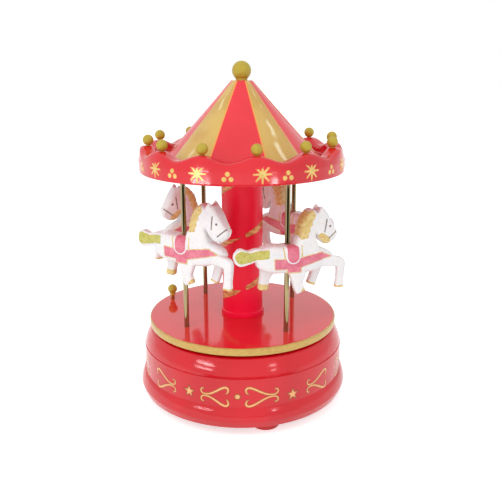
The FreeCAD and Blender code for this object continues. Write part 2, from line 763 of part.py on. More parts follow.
def make_crown():
    outer_top = crown_radius - crown_lean
    rim_bore = outer_top - rim_wall
    skirt_bore = crown_radius - crown_skirt_wall
    screw_hole = screw_radius + screw_play
    ceiling = crest_top + rim_room
    crown = revolved([
        (screw_hole, floor_under), (skirt_bore, floor_under), (skirt_bore, crown_bottom),
        (crown_radius, crown_bottom), (crown_radius - crown_draft, floor_top), (outer_top, rim_top),
        (outer_top - rim_draft, ceiling), (rim_bore, ceiling), (rim_bore, floor_top),
        (screw_hole, floor_top)])
    above = Part.makeRuledSurface(rim_curve(rim_bore - rim_wall), rim_curve(crown_radius + rim_wall))
    crown = crown.cut(above.extrude(UP * (4 * rim_wave + rim_wall)))
    lowest = floor_top + rim_room
    rim_edges = [edge for edge in crown.Edges if edge.BoundBox.ZMin > lowest and edge.Length > crown_radius]
    crown = crown.makeFillet(rim_round, rim_edges)
    spigot = rod(column_bore - seat_fit, V(0, 0, floor_under - spigot_height), spigot_height + root)
    sockets = pole_spots(floor_under - socket_depth)
    bosses = [rod(socket_radius, spot, socket_depth + root) for spot in sockets]
    slope_length = math.hypot(1, roof_slant)
    ring_out = roof_base_radius - roof_wall * slope_length - roof_slant * roof_ring_height - plate_gap
    ring_base = V(0, 0, floor_top - root)
    ring = rod(ring_out, ring_base, roof_ring_height + root)
    ring = ring.cut(rod(ring_out - roof_ring_wall, ring_base, roof_ring_height + root))
    holes = [rod(screw_hole, V(0, 0, floor_under - spigot_height), spigot_height + crown_floor)]
    holes += [rod(pole_radius + seat_fit, spot, socket_depth) for spot in sockets]
    peg_low = polar(bead_circle, crest_bearing, crest_top - bead_peg_length)
    peg_hole = rod(bead_peg_radius + seat_fit, peg_low - UP * seat_fit, bead_peg_length + rim_room)
    crown = drilled(joined([crown, spigot, ring] + bosses), holes + ring_of(peg_hole, crest_count))

    bead = Part.makeSphere(bead_radius, polar(bead_circle, crest_bearing, crest_top + bead_radius))
    bead = joined([bead, rod(bead_peg_radius, peg_low, bead_peg_length + bead_radius)])
    return {"crown": crown, "crown_beads": Part.makeCompound(ring_of(bead, crest_count))}


def make_roof():
    slope_length = math.hypot(1, roof_slant)
    rise = gold_panel_rise * slope_length
    cone = Part.makeCone(roof_base_radius, roof_top_radius, roof_height, V(0, 0, floor_top))
    raised = Part.makeCone(roof_base_radius + rise, roof_top_radius + rise, roof_height, V(0, 0, floor_top),
                           UP, gold_panel_angle)
    raised = turned(raised, UP, gold_panel_bearing - 90 - gold_panel_angle / 2)
    cone = joined([cone] + ring_of(raised, gold_panel_count))
    hollow_height = roof_height - roof_cap
    hollow_radius = roof_base_radius - roof_wall * slope_length
    hollow = Part.makeCone(hollow_radius, hollow_radius - roof_slant * hollow_height, hollow_height,
                           V(0, 0, floor_top))
    peg_low = V(0, 0, roof_top - finial_peg_length)
    peg_hole = rod(finial_peg_radius + seat_fit, peg_low - UP * seat_fit, finial_peg_length + root)
    finial = joined([
        Part.makeSphere(finial_radius, V(0, 0, roof_top + finial_radius)),
        rod(finial_neck_radius, V(0, 0, roof_top), finial_radius / 2),
        rod(finial_peg_radius, peg_low, finial_peg_length + finial_radius)])
    length = crown_floor + spigot_height + web_thickness - screw_tip_room
    fixing = moved(turned(large_screw(0, 0, 0, length), ALONG, 180), V(0, 0, floor_top))
    return {"roof_cone": drilled(cone, [hollow, peg_hole]), "finial": finial, "roof_screw": fixing}


def make_poles():
    length = column_length + pole_sink - seat_fit
    spots = pole_spots(turntable_top - pole_sink)
    return {"pole_%d" % (i + 1): rod(pole_radius, spot, length) for i, spot in enumerate(spots)}


def make_stop():
    pad_top = turntable_bottom - end_play
    knob_z = turntable_top + stop_knob_height
    neck_low = stop_travel + stop_gap - stop_knob_height
    neck = revolved([
        (0, neck_low), (stop_rod_radius + stop_gap, neck_low),
        (stop_neck_radius, neck_low + stop_neck_flare, edge_bulge), (stop_neck_radius, 0), (0, 0)])
    knob = joined([Part.makeSphere(stop_knob_radius), neck])
    knob = knob.cut(rod(stop_rod_radius + seat_fit, V(0, 0, neck_low), -neck_low))
    spot = polar(brake_circle, stop_bearing)
    return {
        "stop_knob": moved(knob, spot + UP * knob_z),
        "stop_rod": rod(stop_rod_radius, spot + UP * pad_top, knob_z - pad_top),
        "stop_pad": rod(stop_pad_radius, spot + UP * stop_pad_bottom, stop_pad_height),
    }


def section(length, height, tilt, depth, width, side=0.0):
    """Corners of an oval across a limb: tilt is the limb's direction, depth and width are half sizes."""
    angle = math.radians(tilt)
    across = V(-math.sin(angle), 0, math.cos(angle))
    centre = V(length, side, height)
    corners = []
    for i in range(oval_sides):
        turn = 2 * math.pi * (i + 0.5) / oval_sides
        corners.append(centre + across * (depth * math.cos(turn)) + V(0, width * math.sin(turn), 0))
    return corners


def facet(*corners):
    return Part.Face(Part.makePolygon(list(corners) + [corners[0]]))


def limb(rows):
    """Solid of flat facets through the sections of a limb."""
    rings = [section(*row) for row in rows]
    faces = [facet(*rings[0]), facet(*rings[-1])]
    for ring, following in zip(rings, rings[1:]):
        for i in range(oval_sides):
            faces.append(facet(ring[i - 1], ring[i], following[i]))
            faces.append(facet(ring[i - 1], following[i], following[i - 1]))
    solid = Part.makeSolid(Part.makeShell(faces))
    if solid.Volume < 0:
        solid.reverse()
    return solid


def hoof(length, height, tilt, depth, width, side):
    """Flared end of a leg: it starts above the leg's last section and encloses it."""
    angle = math.radians(tilt)
    reach = hoof_length / 2
    rows = []
    for way, flare in ((-1, hoof_flare / 2), (0.1, hoof_flare)):
        rows.append((length + way * reach * math.cos(angle), height + way * reach * math.sin(angle), tilt,
                     depth + flare, width + flare, side))
    return limb(rows)


def make_saddle(trunk_rows):
    """Saddle with rounded flaps, girth and breast band, raised a little from the trunk."""
    reach = saddle_depth * 2

    def raised(rise):
        return limb([(length, height, tilt, depth + rise, width + rise)
                     for length, height, tilt, depth, width in trunk_rows])

    flap = saddle_width / 2
    flap_centre = V(saddle_start + flap, -reach, flap - saddle_depth)
    flaps = joined([
        block((saddle_start, -reach, flap_centre.z), (saddle_start + saddle_width, reach, reach)),
        rod(flap, flap_centre, 2 * reach, ACROSS)])
    girth = block((girth_start, -reach, -reach), (girth_start + girth_width, reach, flap_centre.z))
    straps = [girth]
    for start, end in zip(band_line, band_line[1:]):
        run = math.hypot(end[0] - start[0], end[1] - start[1])
        climb = math.degrees(math.asin((end[1] - start[1]) / run))
        strap = block((0, -reach, -band_height / 2), (run, reach, band_height / 2))
        straps.append(moved(turned(strap, ACROSS, -climb), V(start[0], 0, start[1])))
    for bend_x, bend_z in band_line[1:-1]:
        straps.append(rod(band_height / 2, V(bend_x, -reach, bend_z), 2 * reach, ACROSS))
    return [raised(saddle_rise).common(flaps), raised(band_rise).common(joined(straps))]


def make_horse():
    """Galloping horse heading along +X, its seat at the origin, its right side facing -Y."""
    trunk_rows = [
        (-15.4, -6.6, 0, 1.4, 1.2), (-14.0, -6.4, 0, 4.4, 3.2), (-8.5, -6.6, 0, 6.5, 4.8),
        (0.0, -7.4, 0, 6.3, 4.9), (8.0, -7.4, 0, 6.8, 4.9), (15.0, -6.4, 0, 6.6, 4.3),
        (20.4, -6.6, 0, 4.2, 2.9), (22.4, -7.0, 0, 1.4, 1.2)]
    neck = limb([
        (10.0, -6.0, 70, 8.0, 4.7), (9.6, -0.8, 76, 6.4, 4.5), (9.4, 3.8, 80, 5.2, 4.3),
        (10.0, 8.5, 74, 4.9, 4.2), (12.4, 12.6, 55, 3.4, 3.7)])
    head = limb([
        (15.4, 13.2, -62, 2.6, 3.4), (15.9, 8.9, -60, 4.5, 4.1), (17.9, 4.9, -58, 4.7, 3.8),
        (20.1, 2.9, -56, 3.9, 3.3), (21.6, 1.3, -54, 3.4, 2.9), (22.3, 0.4, -54, 2.2, 2.0)])
    mane = limb([
        (11.2, 15.2, 230, 1.2, 2.2), (9.6, 12.4, 232, 2.4, 3.4), (7.2, 8.2, 245, 2.9, 4.1),
        (6.2, 4.2, 262, 2.6, 4.3), (6.0, 1.6, 268, 1.6, 3.0)])
    ears = [limb([(15.2, 13.2, 88, 1.6, 1.0, side), (15.4, 14.9, 86, 1.1, 0.7, side),
                  (15.5, 16.2, 86, 0.3, 0.25, side)]) for side in (3.0, -3.0)]
    tail = limb([
        (-11.6, -3.8, 184, 2.6, 1.6), (-15.5, -4.2, 186, 3.0, 2.0), (-18.6, -5.0, 184, 3.1, 2.1),
        (-22.2, -4.8, 174, 4.1, 2.2), (-24.3, -4.2, 168, 3.4, 1.8), (-25.5, -3.8, 168, 1.6, 0.9)])
    near_fore = [
        (17.0, -9.0, -4, 3.4, 2.2, -2.2), (21.5, -9.8, -4, 2.5, 1.9, -3.2),
        (25.0, -10.8, -40, 2.6, 1.8, -3.5), (25.4, -14.0, -88, 2.0, 1.7, -3.6),
        (25.1, -18.8, -92, 1.9, 1.6, -3.6), (24.9, -22.6, -92, 2.2, 1.7, -3.6)]
    far_fore = [
        (16.5, -9.5, -85, 3.2, 2.2, 2.4), (16.4, -14.0, -100, 2.4, 1.9, 3.4),
        (15.3, -18.2, -110, 2.1, 1.8, 3.8), (13.8, -22.2, -112, 2.2, 1.8, 3.8)]
    near_hind = [
        (1.0, -9.0, -70, 5.0, 2.4, -2.4), (3.6, -14.0, -82, 4.0, 2.0, -3.5),
        (3.6, -18.4, -86, 2.6, 1.8, -3.7), (4.4, -21.0, -70, 2.5, 1.8, -3.7),
        (5.1, -22.7, -70, 2.4, 1.7, -3.7)]
    far_hind = [
        (-7.4, -8.0, -95, 5.2, 2.6, 2.2), (-8.6, -13.0, -102, 3.5, 2.2, 3.2),
        (-9.6, -17.2, -100, 2.4, 1.9, 3.7), (-10.5, -22.2, -95, 2.3, 1.9, 3.7)]
    legs = [near_fore, far_fore, near_hind, far_hind]
    horse = joined([limb(trunk_rows), neck, head, mane, tail] + ears + [limb(rows) for rows in legs])
    horse = joined([horse] + [hoof(*rows[-1]) for rows in legs])
    horse = joined([horse] + make_saddle(trunk_rows))
    reach = column_length
    return horse.cut(rod(pole_radius + seat_fit, V(0, 0, -reach / 2), reach))


def make_horses():
    pattern = make_horse()
    horses = {}
    for i, spot in enumerate(pole_spots(floor_under)):
        heading = pole_bearing + 360.0 * i / pole_count + nose_inward[i]
        horses["horse_%d" % (i + 1)] = moved(turned(pattern, UP, heading), spot - UP * seat_drops[i])
    return horses


def main():
    os.makedirs("parts", exist_ok=True)
    makers = [make_base, make_cap, make_bedplate, make_spring, make_arbor, make_cylinder, make_comb,
              make_train, make_governor, make_turntable, make_crown, make_roof, make_poles, make_stop,
              make_horses]
    for maker in makers:
        for node, shape in maker().items():
            shape.exportStep("parts/%s.step" % node)
            print(node, len(shape.Solids), shape.isValid(), round(shape.Volume, 3))


main()
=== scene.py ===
from math import acos, atan, cos, degrees, pi, radians, sin, sqrt, tan

import bmesh
import bpy
import numpy as np
from mathutils import Matrix, Vector
from numpy.linalg import norm


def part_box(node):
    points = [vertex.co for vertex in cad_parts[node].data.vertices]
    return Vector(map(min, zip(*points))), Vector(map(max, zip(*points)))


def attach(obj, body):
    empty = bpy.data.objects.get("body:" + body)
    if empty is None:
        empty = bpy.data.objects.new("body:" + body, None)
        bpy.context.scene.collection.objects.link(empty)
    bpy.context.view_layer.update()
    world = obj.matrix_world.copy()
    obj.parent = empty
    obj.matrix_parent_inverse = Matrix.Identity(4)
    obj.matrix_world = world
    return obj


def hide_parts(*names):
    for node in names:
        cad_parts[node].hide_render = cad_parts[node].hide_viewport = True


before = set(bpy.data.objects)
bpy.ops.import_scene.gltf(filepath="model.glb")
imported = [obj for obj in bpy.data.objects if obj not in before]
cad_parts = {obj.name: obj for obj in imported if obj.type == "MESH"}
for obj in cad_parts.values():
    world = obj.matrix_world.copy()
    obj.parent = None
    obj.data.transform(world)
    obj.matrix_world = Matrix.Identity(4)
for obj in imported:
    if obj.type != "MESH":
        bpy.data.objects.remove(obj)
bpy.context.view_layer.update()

# Lengths are millimetres until a mesh is made. Bearings are degrees round the carousel's axis,
# counted from the front (-Y) towards the right (+X).
MM = 0.001


def levels(node):
    """Lowest and highest level of a CAD node."""
    low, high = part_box(node)
    return low.z / MM, high.z / MM


def reach(node):
    """How far a CAD node reaches along X."""
    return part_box(node)[1].x / MM


# Sizes of the base
drum_low, seam_z = levels("base_drum")
cap_top = levels("base_cap")[1]
flange_radius = reach("base_drum")
wall_radius = flange_radius - 2.4
drum_bore = wall_radius - 2
cap_sheet = 2.5
cap_hole = 4
groove_outer = wall_radius - 6
groove_inner = wall_radius - 10
groove_floor = cap_top - 2.3
groove_back = groove_floor - 2
tongue_outer = wall_radius - 2.05
tongue_inner = tongue_outer - 2
tongue_low = seam_z - 4
foot_count = 3
foot_bearing = 15
foot_circle = 40
foot_radius = 7.3
foot_hole = 2

# Sizes of the carousel
deck_low, hub_top = levels("turntable")
deck_top, ceiling_z = levels("column")
deck_radius = reach("turntable")
hub_radius = 8.38
arbor_hole = 1.62
column_radius = 10
column_bore = column_radius - 1.6
collar_radius = reach("column")
crown_low, crest_top = levels("crown")
crown_radius = reach("crown")
crown_bore = crown_radius - 1.8
crown_hole = 3
crown_lean = 0.1
rim_lean = 0.8
floor_top, roof_top = levels("roof_cone")
finial_top = levels("finial")[1]
crest_count = 12
crest_step = 360 / crest_count
crest_bearing = 8
rim_wave = 1.45
rim_top = crest_top - rim_wave
rim_wall = 7
bead_radius = 2.5
bead_circle = 43.9
roof_radius = 36.7
roof_tip_radius = 4.6
roof_hole = 2
pole_count = 4
pole_radius = 1.18
pole_circle = 33.6
pole_bearing = 37.2
stop_bearing = -116
stop_circle = 41.7
stop_ball_radius = 2.45
stop_stem_radius = 1
stop_bore_radius = 1.1

# Gold panels of the roof: bearing of the middle and angle across
gold_panels = ((-41.8, 36.4), (32.8, 31.2), (97.5, 33), (171, 33), (244.5, 33))

# Places of the horses: level of the seat on the pole and heading, degrees from +X
seat_levels = (84.8, 89.5, 87.1, 87.9)
headings = (19.4, 136.7, 209.7, 331.6)

# Range that most values of the noise texture lie in
noise_range = (0.3, 0.7)

# Sharpest angle between faces, in degrees, that is shaded as a round
round_angle = 40


def tint(red, green, blue):
    """Linear colour of a screen colour, 0 to 255."""
    linear = []
    for value in (red, green, blue):
        share = value / 255
        linear.append(share / 12.92 if share <= 0.04045 else ((share + 0.055) / 1.055) ** 2.4)
    return (*linear, 1)


def scaled(shade, *factors):
    """Screen colour times one factor, or one for each channel."""
    return tuple(min(255, value * factor) for value, factor in zip(shade, factors * 3))


class Nodes:
    """The node tree of a material or a world."""

    def __init__(self, owner):
        owner.use_nodes = True
        self.tree = owner.node_tree

    def add(self, kind, inputs=(), **settings):
        """New node with its settings and the values of its sockets."""
        node = self.tree.nodes.new("ShaderNode" + kind)
        for name, value in settings.items():
            setattr(node, name, value)
        for socket, value in dict(inputs).items():
            self.put(node, socket, value)
        return node

    def put(self, node, socket, value):
        """Links the value to a socket or, if plain, sets it."""
        if isinstance(value, bpy.types.NodeSocket):
            self.tree.links.new(value, node.inputs[socket])
        else:
            node.inputs[socket].default_value = value

    def math(self, operation, first, second=0):
        return self.add("Math", {0: first, 1: second}, operation=operation).outputs[0]

    def span(self, value, low, high, to_low=0, to_high=1):
        """Smooth step from to_low to to_high as the value goes from low to high."""
        inputs = enumerate((value, low, high, to_low, to_high))
        return self.add("MapRange", inputs, interpolation_type="SMOOTHSTEP").outputs[0]

    def seen(self):
        """1 for what is seen, also mirrored or through glass, and 0 for what only gives light."""
        rays = self.add("LightPath").outputs
        direct = self.math("MAXIMUM", rays["Is Camera Ray"], rays["Is Glossy Ray"])
        return self.math("MAXIMUM", direct, rays["Is Transmission Ray"])


class Look(Nodes):
    """A node material round one Principled shader."""

    def __init__(self, name, **sockets):
        self.material = bpy.data.materials.new(name)
        super().__init__(self.material)
        self.shader = self.tree.nodes["Principled BSDF"]
        self.place = self.add("TexCoord").outputs["Object"]
        for socket, value in sockets.items():
            self.put(self.shader, socket.replace("_", " ").title().replace("Ior", "IOR"), value)

    def axes(self):
        """X, Y and Z of the object's own coordinates."""
        return self.add("SeparateXYZ", {0: self.place}).outputs

    def noise(self, scale, detail, upwards=None):
        """Noise over the object: features per metre, and how much denser they lie upwards."""
        place = self.place
        if upwards:
            place = self.add("Mapping", {"Vector": place, "Scale": (1, 1, upwards)}).outputs[0]
        return self.add("TexNoise", {"Vector": place, "Scale": scale, "Detail": detail}).outputs[0]

    def wander(self, scale, width):
        """Noise about nought."""
        return self.math("MULTIPLY", self.math("SUBTRACT", self.noise(scale, 2), 0.5), width)

    def field(self, name):
        """Float field on the points."""
        return self.add("Attribute", attribute_name=name).outputs["Fac"]

    def mix(self, share, first, second):
        """Colour from first, at share 0, to second: each a link or a screen colour."""
        node = self.add("Mix", data_type="RGBA")
        share_socket, colour_sockets, result_socket = 0, (6, 7), 2
        self.put(node, share_socket, share)
        for socket, colour in zip(colour_sockets, (first, second)):
            self.put(node, socket, tint(*colour) if isinstance(colour, tuple) else colour)
        return node.outputs[result_socket]

    def mottle(self, noise, first, second):
        """Colour that wanders with the noise from first to second."""
        return self.mix(self.span(noise, *noise_range), first, second)

    def colour(self, value):
        self.put(self.shader, "Base Color", value)

    def rough(self, value, low, high, between=noise_range):
        """Roughness that follows the value from low to high."""
        self.put(self.shader, "Roughness", self.span(value, *between, low, high))

    def bump(self, height, distance, strength):
        inputs = {"Height": height, "Distance": distance * MM, "Strength": strength}
        self.put(self.shader, "Normal", self.add("Bump", inputs).outputs[0])


# Meshes

def rounded(corners):
    """Closed outline through corners (r, z, fillet), rounded by arcs."""
    arc_steps, longest_share = 6, 0.49
    spots = [np.array(corner[:2], float) for corner in corners]
    outline = []
    for i, spot in enumerate(spots):
        fillet = corners[i][2]
        if fillet == 0:
            outline.append(spot)
            continue
        back = spots[i - 1] - spot
        onward = spots[(i + 1) % len(spots)] - spot
        back_length, onward_length = norm(back), norm(onward)
        back, onward = back / back_length, onward / onward_length
        half = acos(np.clip(back @ onward, -1, 1)) / 2
        run = min(fillet / tan(half), longest_share * back_length, longest_share * onward_length)
        for t in np.linspace(0, 1, arc_steps + 1):
            weights = np.array([(1 - t) ** 2, 2 * t * (1 - t) * sin(half), t ** 2])
            arc = weights @ np.array([spot + back * run, spot, spot + onward * run])
            outline.append(arc / weights.sum())
    return np.array(outline)


def spline(points, count):
    """Smooth curve of count + 1 points through the given points."""
    points = np.asarray(points, float)
    padded = np.concatenate([2 * points[:1] - points[1:2], points, 2 * points[-1:] - points[-2:-1]])
    curve = []
    for s in np.linspace(0, len(points) - 1, count + 1):
        i = min(int(s), len(points) - 2)
        t = s - i
        a, b, c, d = padded[i:i + 4]
        curve.append(0.5 * (2 * b + (c - a) * t + (2 * a - 5 * b + 4 * c - d) * t ** 2
                            + (3 * b - a - 3 * c + d) * t ** 3))
    return np.array(curve)


def ring_faces(count, size):
    """Quads between count closed rings of size points; the last ring joins the first."""
    return [(a + j, b + j, b + (j + 1) % size, a + (j + 1) % size)
            for a, b in ((i * size, (i + 1) % count * size) for i in range(count)) for j in range(size)]


def sheet_faces(count, size):
    """Quads between count open rows of size points."""
    return [(a + j, a + size + j, a + size + j + 1, a + j + 1)
            for a in range(0, (count - 1) * size, size) for j in range(size - 1)]


def lathe(outline, steps):
    """Points and faces of a closed outline of (r, z) turned round the axis."""
    turns = np.linspace(0, 2 * pi, steps, endpoint=False)
    r, z = outline[:, 0], outline[:, 1]
    points = [np.stack([r * cos(t), r * sin(t), z], 1) for t in turns]
    return np.concatenate(points), ring_faces(steps, len(outline))


def rod(radius, low, high, steps):
    """Upright rod with rounded ends; points near them keep its side straight."""
    fillet, support = 0.2, 0.5
    return lathe(rounded([
        (0, low, 0), (radius, low, fillet), (radius, low + support, 0),
        (radius, high - support, 0), (radius, high, fillet), (0, high, 0)]), steps)


def ball(radius, neck_radius, neck_low):
    """Ball about the origin on a round neck."""
    rows, steps = 28, 48
    start = acos(neck_radius / radius)
    outline = [(0, neck_low), (neck_radius, neck_low)]
    for angle in np.linspace(-start, pi / 2, rows):
        outline.append((radius * cos(angle), radius * sin(angle)))
    return lathe(np.array(outline), steps)


def moved(solid, offset):
    points, faces = solid
    return points + offset, faces


def together(solids):
    """One set of points and faces from several."""
    points, faces, start = [], [], 0
    for solid_points, solid_faces in solids:
        points.append(solid_points)
        faces += [tuple(start + i for i in face) for face in solid_faces]
        start += len(solid_points)
    return np.concatenate(points), faces


def polar(radius, bearing, z=0):
    """Point at a bearing and a distance from the axis."""
    angle = radians(bearing)
    return np.array([radius * sin(angle), -radius * cos(angle), z])


def around(circle, bearing, count, z=0):
    """Points evenly spaced round the axis, the first at a bearing."""
    return [polar(circle, bearing + 360 * i / count, z) for i in range(count)]


def smoothed(mesh, crease):
    """Smooth shading up to the crease angle."""
    mesh.shade_smooth()
    mesh.set_sharp_from_angle(angle=radians(crease))


def finished_mesh(name, solid, crease=round_angle, fields=None):
    """Mesh in metres with outward normals and float fields on its points."""
    same_point = 1e-7
    points, faces = solid
    mesh = bpy.data.meshes.new(name)
    mesh.from_pydata((np.asarray(points) * MM).tolist(), [], faces)
    for field, values in (fields or {}).items():
        layer = mesh.attributes.new(field, "FLOAT", "POINT")
        layer.data.foreach_set("value", np.asarray(values, np.float32))
    work = bmesh.new()
    work.from_mesh(mesh)
    bmesh.ops.remove_doubles(work, verts=work.verts, dist=same_point)
    loose = [edge for edge in work.edges if not edge.link_faces]
    bmesh.ops.delete(work, geom=loose, context="EDGES")
    bmesh.ops.recalc_face_normals(work, faces=work.faces)
    work.to_mesh(mesh)
    work.free()
    smoothed(mesh, crease)
    return mesh


def placed(name, data):
    """New object in the scene."""
    thing = bpy.data.objects.new(name, data)
    bpy.context.scene.collection.objects.link(thing)
    return thing


def worked_out(holder, *others):
    """Mesh with the holder's modifiers applied; the objects are used up."""
    graph = bpy.context.evaluated_depsgraph_get()
    result = bpy.data.meshes.new_from_object(holder.evaluated_get(graph))
    for used in (holder, *others):
        mesh = used.data
        bpy.data.objects.remove(used)
        bpy.data.meshes.remove(mesh)
    return result


def bored(name, blank, bore):
    """Mesh of the blank with the bore cut out of it."""
    holder, cutter = placed("blank", blank), placed("bore", bore)
    cut = holder.modifiers.new("cut", "BOOLEAN")
    cut.operation = "DIFFERENCE"
    cut.solver = "EXACT"
    cut.object = cutter
    mesh = worked_out(holder, cutter)
    mesh.name = name
    smoothed(mesh, round_angle)
    return mesh


def remeshed(solid):
    """Points, normals and faces of overlapping solids joined into one."""
    voxel, relax_share, relax_steps = 0.3, 0.5, 5
    points, faces = solid
    mesh = bpy.data.meshes.new("rough")
    mesh.from_pydata(points.tolist(), [], faces)
    holder = placed("rough", mesh)
    union = holder.modifiers.new("union", "REMESH")
    union.mode = "VOXEL"
    union.voxel_size = voxel
    relax = holder.modifiers.new("relax", "SMOOTH")
    relax.factor = relax_share
    relax.iterations = relax_steps
    result = worked_out(holder)
    arrays = np.zeros((2, len(result.vertices), 3))
    for array, kind in zip(arrays, ("co", "normal")):
        result.vertices.foreach_get(kind, array.ravel())
    faces = [tuple(polygon.vertices) for polygon in result.polygons]
    bpy.data.meshes.remove(result)
    return *arrays, faces


def show(name, mesh, look, body, stands_for=(), place=Matrix()):
    """Adds a piece to the scene, riding on a body."""
    piece = placed(name, mesh)
    if not mesh.materials:
        mesh.materials.append(look.material)
    piece.matrix_world = place
    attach(piece, body)
    if stands_for:
        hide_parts(*stands_for)


def show_solid(name, solid, look, body, node):
    """Adds a piece in the place of a CAD node."""
    show(name, finished_mesh(name, solid), look, body, [node])


# Looks

def red_plastic(name, shade):
    """Glossy moulded plastic with faint flow marks and a little orange peel."""
    look = Look(name, specular_ior_level=0.5, coat_weight=0.05, coat_roughness=0.08)
    flow = look.noise(38, 3, 0.35)
    look.colour(look.mottle(flow, scaled(shade, 0.94, 0.8, 0.86), shade))
    look.rough(look.noise(260, 2), 0.09, 0.15)
    sinks = look.math("MULTIPLY", look.noise(130, 1), 11)
    look.bump(look.math("ADD", sinks, look.noise(900, 1)), 0.05, 0.25)
    return look


def crimson_with_painted_light():
    """Painted tube: even crimson with a soft sheen and faint runs down its length. The crimson is the red
    plastic made brighter, as painted light where the crown shades it, and bluer, as painted shade.
    """
    look = Look("column_plastic", specular_ior_level=0.35)
    runs = look.noise(60, 2, 0.15)
    # Colour: brighter than the other red mouldings as painted light under the crown's shadow, and bluer as
    # painted shade.
    look.colour(look.mottle(runs, (252, 6, 54), (255, 14, 64)))
    look.rough(look.noise(300, 2), 0.3, 0.38)
    look.bump(look.noise(700, 1), 0.03, 0.2)
    return look


def gold_paint():
    """Satin gold paint over turned wood: fine grain and worn patches."""
    look = Look("bead_paint", metallic=0.2, specular_ior_level=0.4)
    gold, worn_gold = (190, 168, 60), (156, 118, 40)
    grain = look.noise(420, 4, 0.3)
    worn = look.span(look.noise(230, 2), 0.35, 0.75, 0, 0.25)
    paint = look.mix(worn, gold, worn_gold)
    light = scaled(gold, 1.06, 1.08, 1.05)
    look.colour(look.mix(look.span(grain, 0.45, 0.8, 0, 0.5), paint, light))
    look.rough(grain, 0.34, 0.5)
    look.bump(grain, 0.06, 0.5)
    return look


def gold_print(name, shade, edge):
    """Hot-stamped gold foil with an outline, drawn by the edge field."""
    look = Look(name, metallic=0.3, specular_ior_level=0.5)
    inside = look.span(look.field("edge"), 0.12, 0.42)
    speckle = look.span(look.noise(500, 3), 0.35, 0.75, 0, 0.5)
    foil_colour = look.mix(speckle, shade, scaled(shade, 1.08, 1.12, 1.3))
    look.colour(look.mix(inside, edge, foil_colour))
    look.rough(look.noise(500, 2), 0.24, 0.4)
    return look


def polished_metal(name, shade, rough, upwards=0.05):
    """Metal with fine lines drawn along it or, with upwards 1, a fine even grain."""
    look = Look(name, metallic=1)
    lines = look.noise(1800, 3, upwards)
    look.colour(look.mottle(lines, scaled(shade, 0.86), shade))
    look.rough(lines, rough * 0.8, rough * 1.3)
    look.bump(lines, 0.01, 0.2)
    return look


def cast_metal():
    """Dull grey casting with a fine grain."""
    look = Look("cast_zinc", metallic=1)
    grain = look.noise(1500, 4)
    look.colour(look.mottle(grain, (140, 142, 145), (178, 180, 182)))
    look.rough(grain, 0.42, 0.6)
    look.bump(grain, 0.05, 0.5)
    return look


def matt_moulding(name, shade, rough):
    """Moulding with a fine matt grain."""
    look = Look(name, specular_ior_level=0.4)
    grain = look.noise(1200, 3)
    look.colour(look.mottle(grain, scaled(shade, 0.9), shade))
    look.rough(grain, rough * 0.9, min(1, rough * 1.15))
    look.bump(grain, 0.03, 0.4)
    return look


# Base

def make_base(red):
    low, wall, seam, top = drum_low, wall_radius, seam_z, cap_top
    skirt = [(wall + 1.3, low), (wall + 1.5, low + 0.4), (flange_radius - 0.1, low + 3.1)]
    flange = spline([
        (flange_radius, low + 3.4), (wall + 2.15, low + 5.2), (wall + 1.6, low + 7.1),
        (wall + 0.9, low + 8.5), (wall, low + 9.5)], 30)
    lip = [(wall, seam - 0.3), (wall - 0.3, seam), (drum_bore, seam), (drum_bore, low)]
    drum = lathe(np.concatenate([skirt, flange, lip]), 256)
    show_solid("drum_shell", drum, red, "base", "base_drum")

    shoulder = spline([
        (wall - 0.25, seam + 0.3), (wall - 0.5, seam + 1.5), (wall - 0.95, seam + 3),
        (wall - 1.6, seam + 4.6), (wall - 2.4, seam + 6.2), (wall - 3.2, top - 0.9),
        (wall - 3.9, top - 0.25), (wall - 4.6, top)], 36)
    inner = rounded([
        (groove_outer, top, 0), (groove_outer, groove_floor, 0.2),
        (groove_inner, groove_floor, 0.2), (groove_inner, top, 0.2),
        (cap_hole, top, 0), (cap_hole, top - cap_sheet, 0),
        (groove_inner - cap_sheet, top - cap_sheet, 0), (groove_inner - cap_sheet, groove_back, 0),
        (tongue_inner, groove_back, 0), (tongue_inner, tongue_low, 0), (tongue_outer, tongue_low, 0),
        (tongue_outer, seam, 0), (wall - 0.5, seam, 0)])
    cap = lathe(np.concatenate([shoulder, inner]), 256)
    show_solid("cap_shell", cap, red, "base", "base_cap")

    foot = lathe(rounded([
        (foot_hole, 0, 0), (foot_radius - 0.6, 0, 0.8), (foot_radius, low, 0.3), (foot_hole, low, 0)]), 64)
    feet = together([moved(foot, spot) for spot in around(foot_circle, foot_bearing, foot_count)])
    show_solid("foot_pads", feet, red, "base", "feet")


# Carousel

def deck_look():
    """Red plastic with a gold rim that bleeds a little onto the top."""
    look = Look("deck_plastic", specular_ior_level=0.5, coat_weight=0.3, coat_roughness=0.05)
    x, y = look.axes()[:2]
    across = look.math("ADD", look.math("MULTIPLY", x, x), look.math("MULTIPLY", y, y))
    wander = look.math("MULTIPLY", look.noise(160, 3), 0.9 * MM)
    bleed = look.math("ADD", look.math("SQRT", across), wander)
    painted = look.span(bleed, (deck_radius - 0.45) * MM, (deck_radius + 0.05) * MM)
    brush = look.noise(500, 3, 4)
    gold = look.mix(look.span(brush, 0.3, 0.75), (192, 154, 74), (210, 176, 94))
    # This red is a little lighter than the other red mouldings: painted light for the flat top, which the
    # lamps light less.
    red = look.mottle(look.noise(40, 2), (228, 30, 44), (238, 36, 50))
    look.colour(look.mix(painted, red, gold))
    look.rough(painted, 0.1, 0.36, (0, 1))
    look.put(look.shader, "Metallic", look.span(painted, 0, 1, 0, 0.3))
    look.bump(look.noise(700, 1), 0.03, 0.2)
    return look


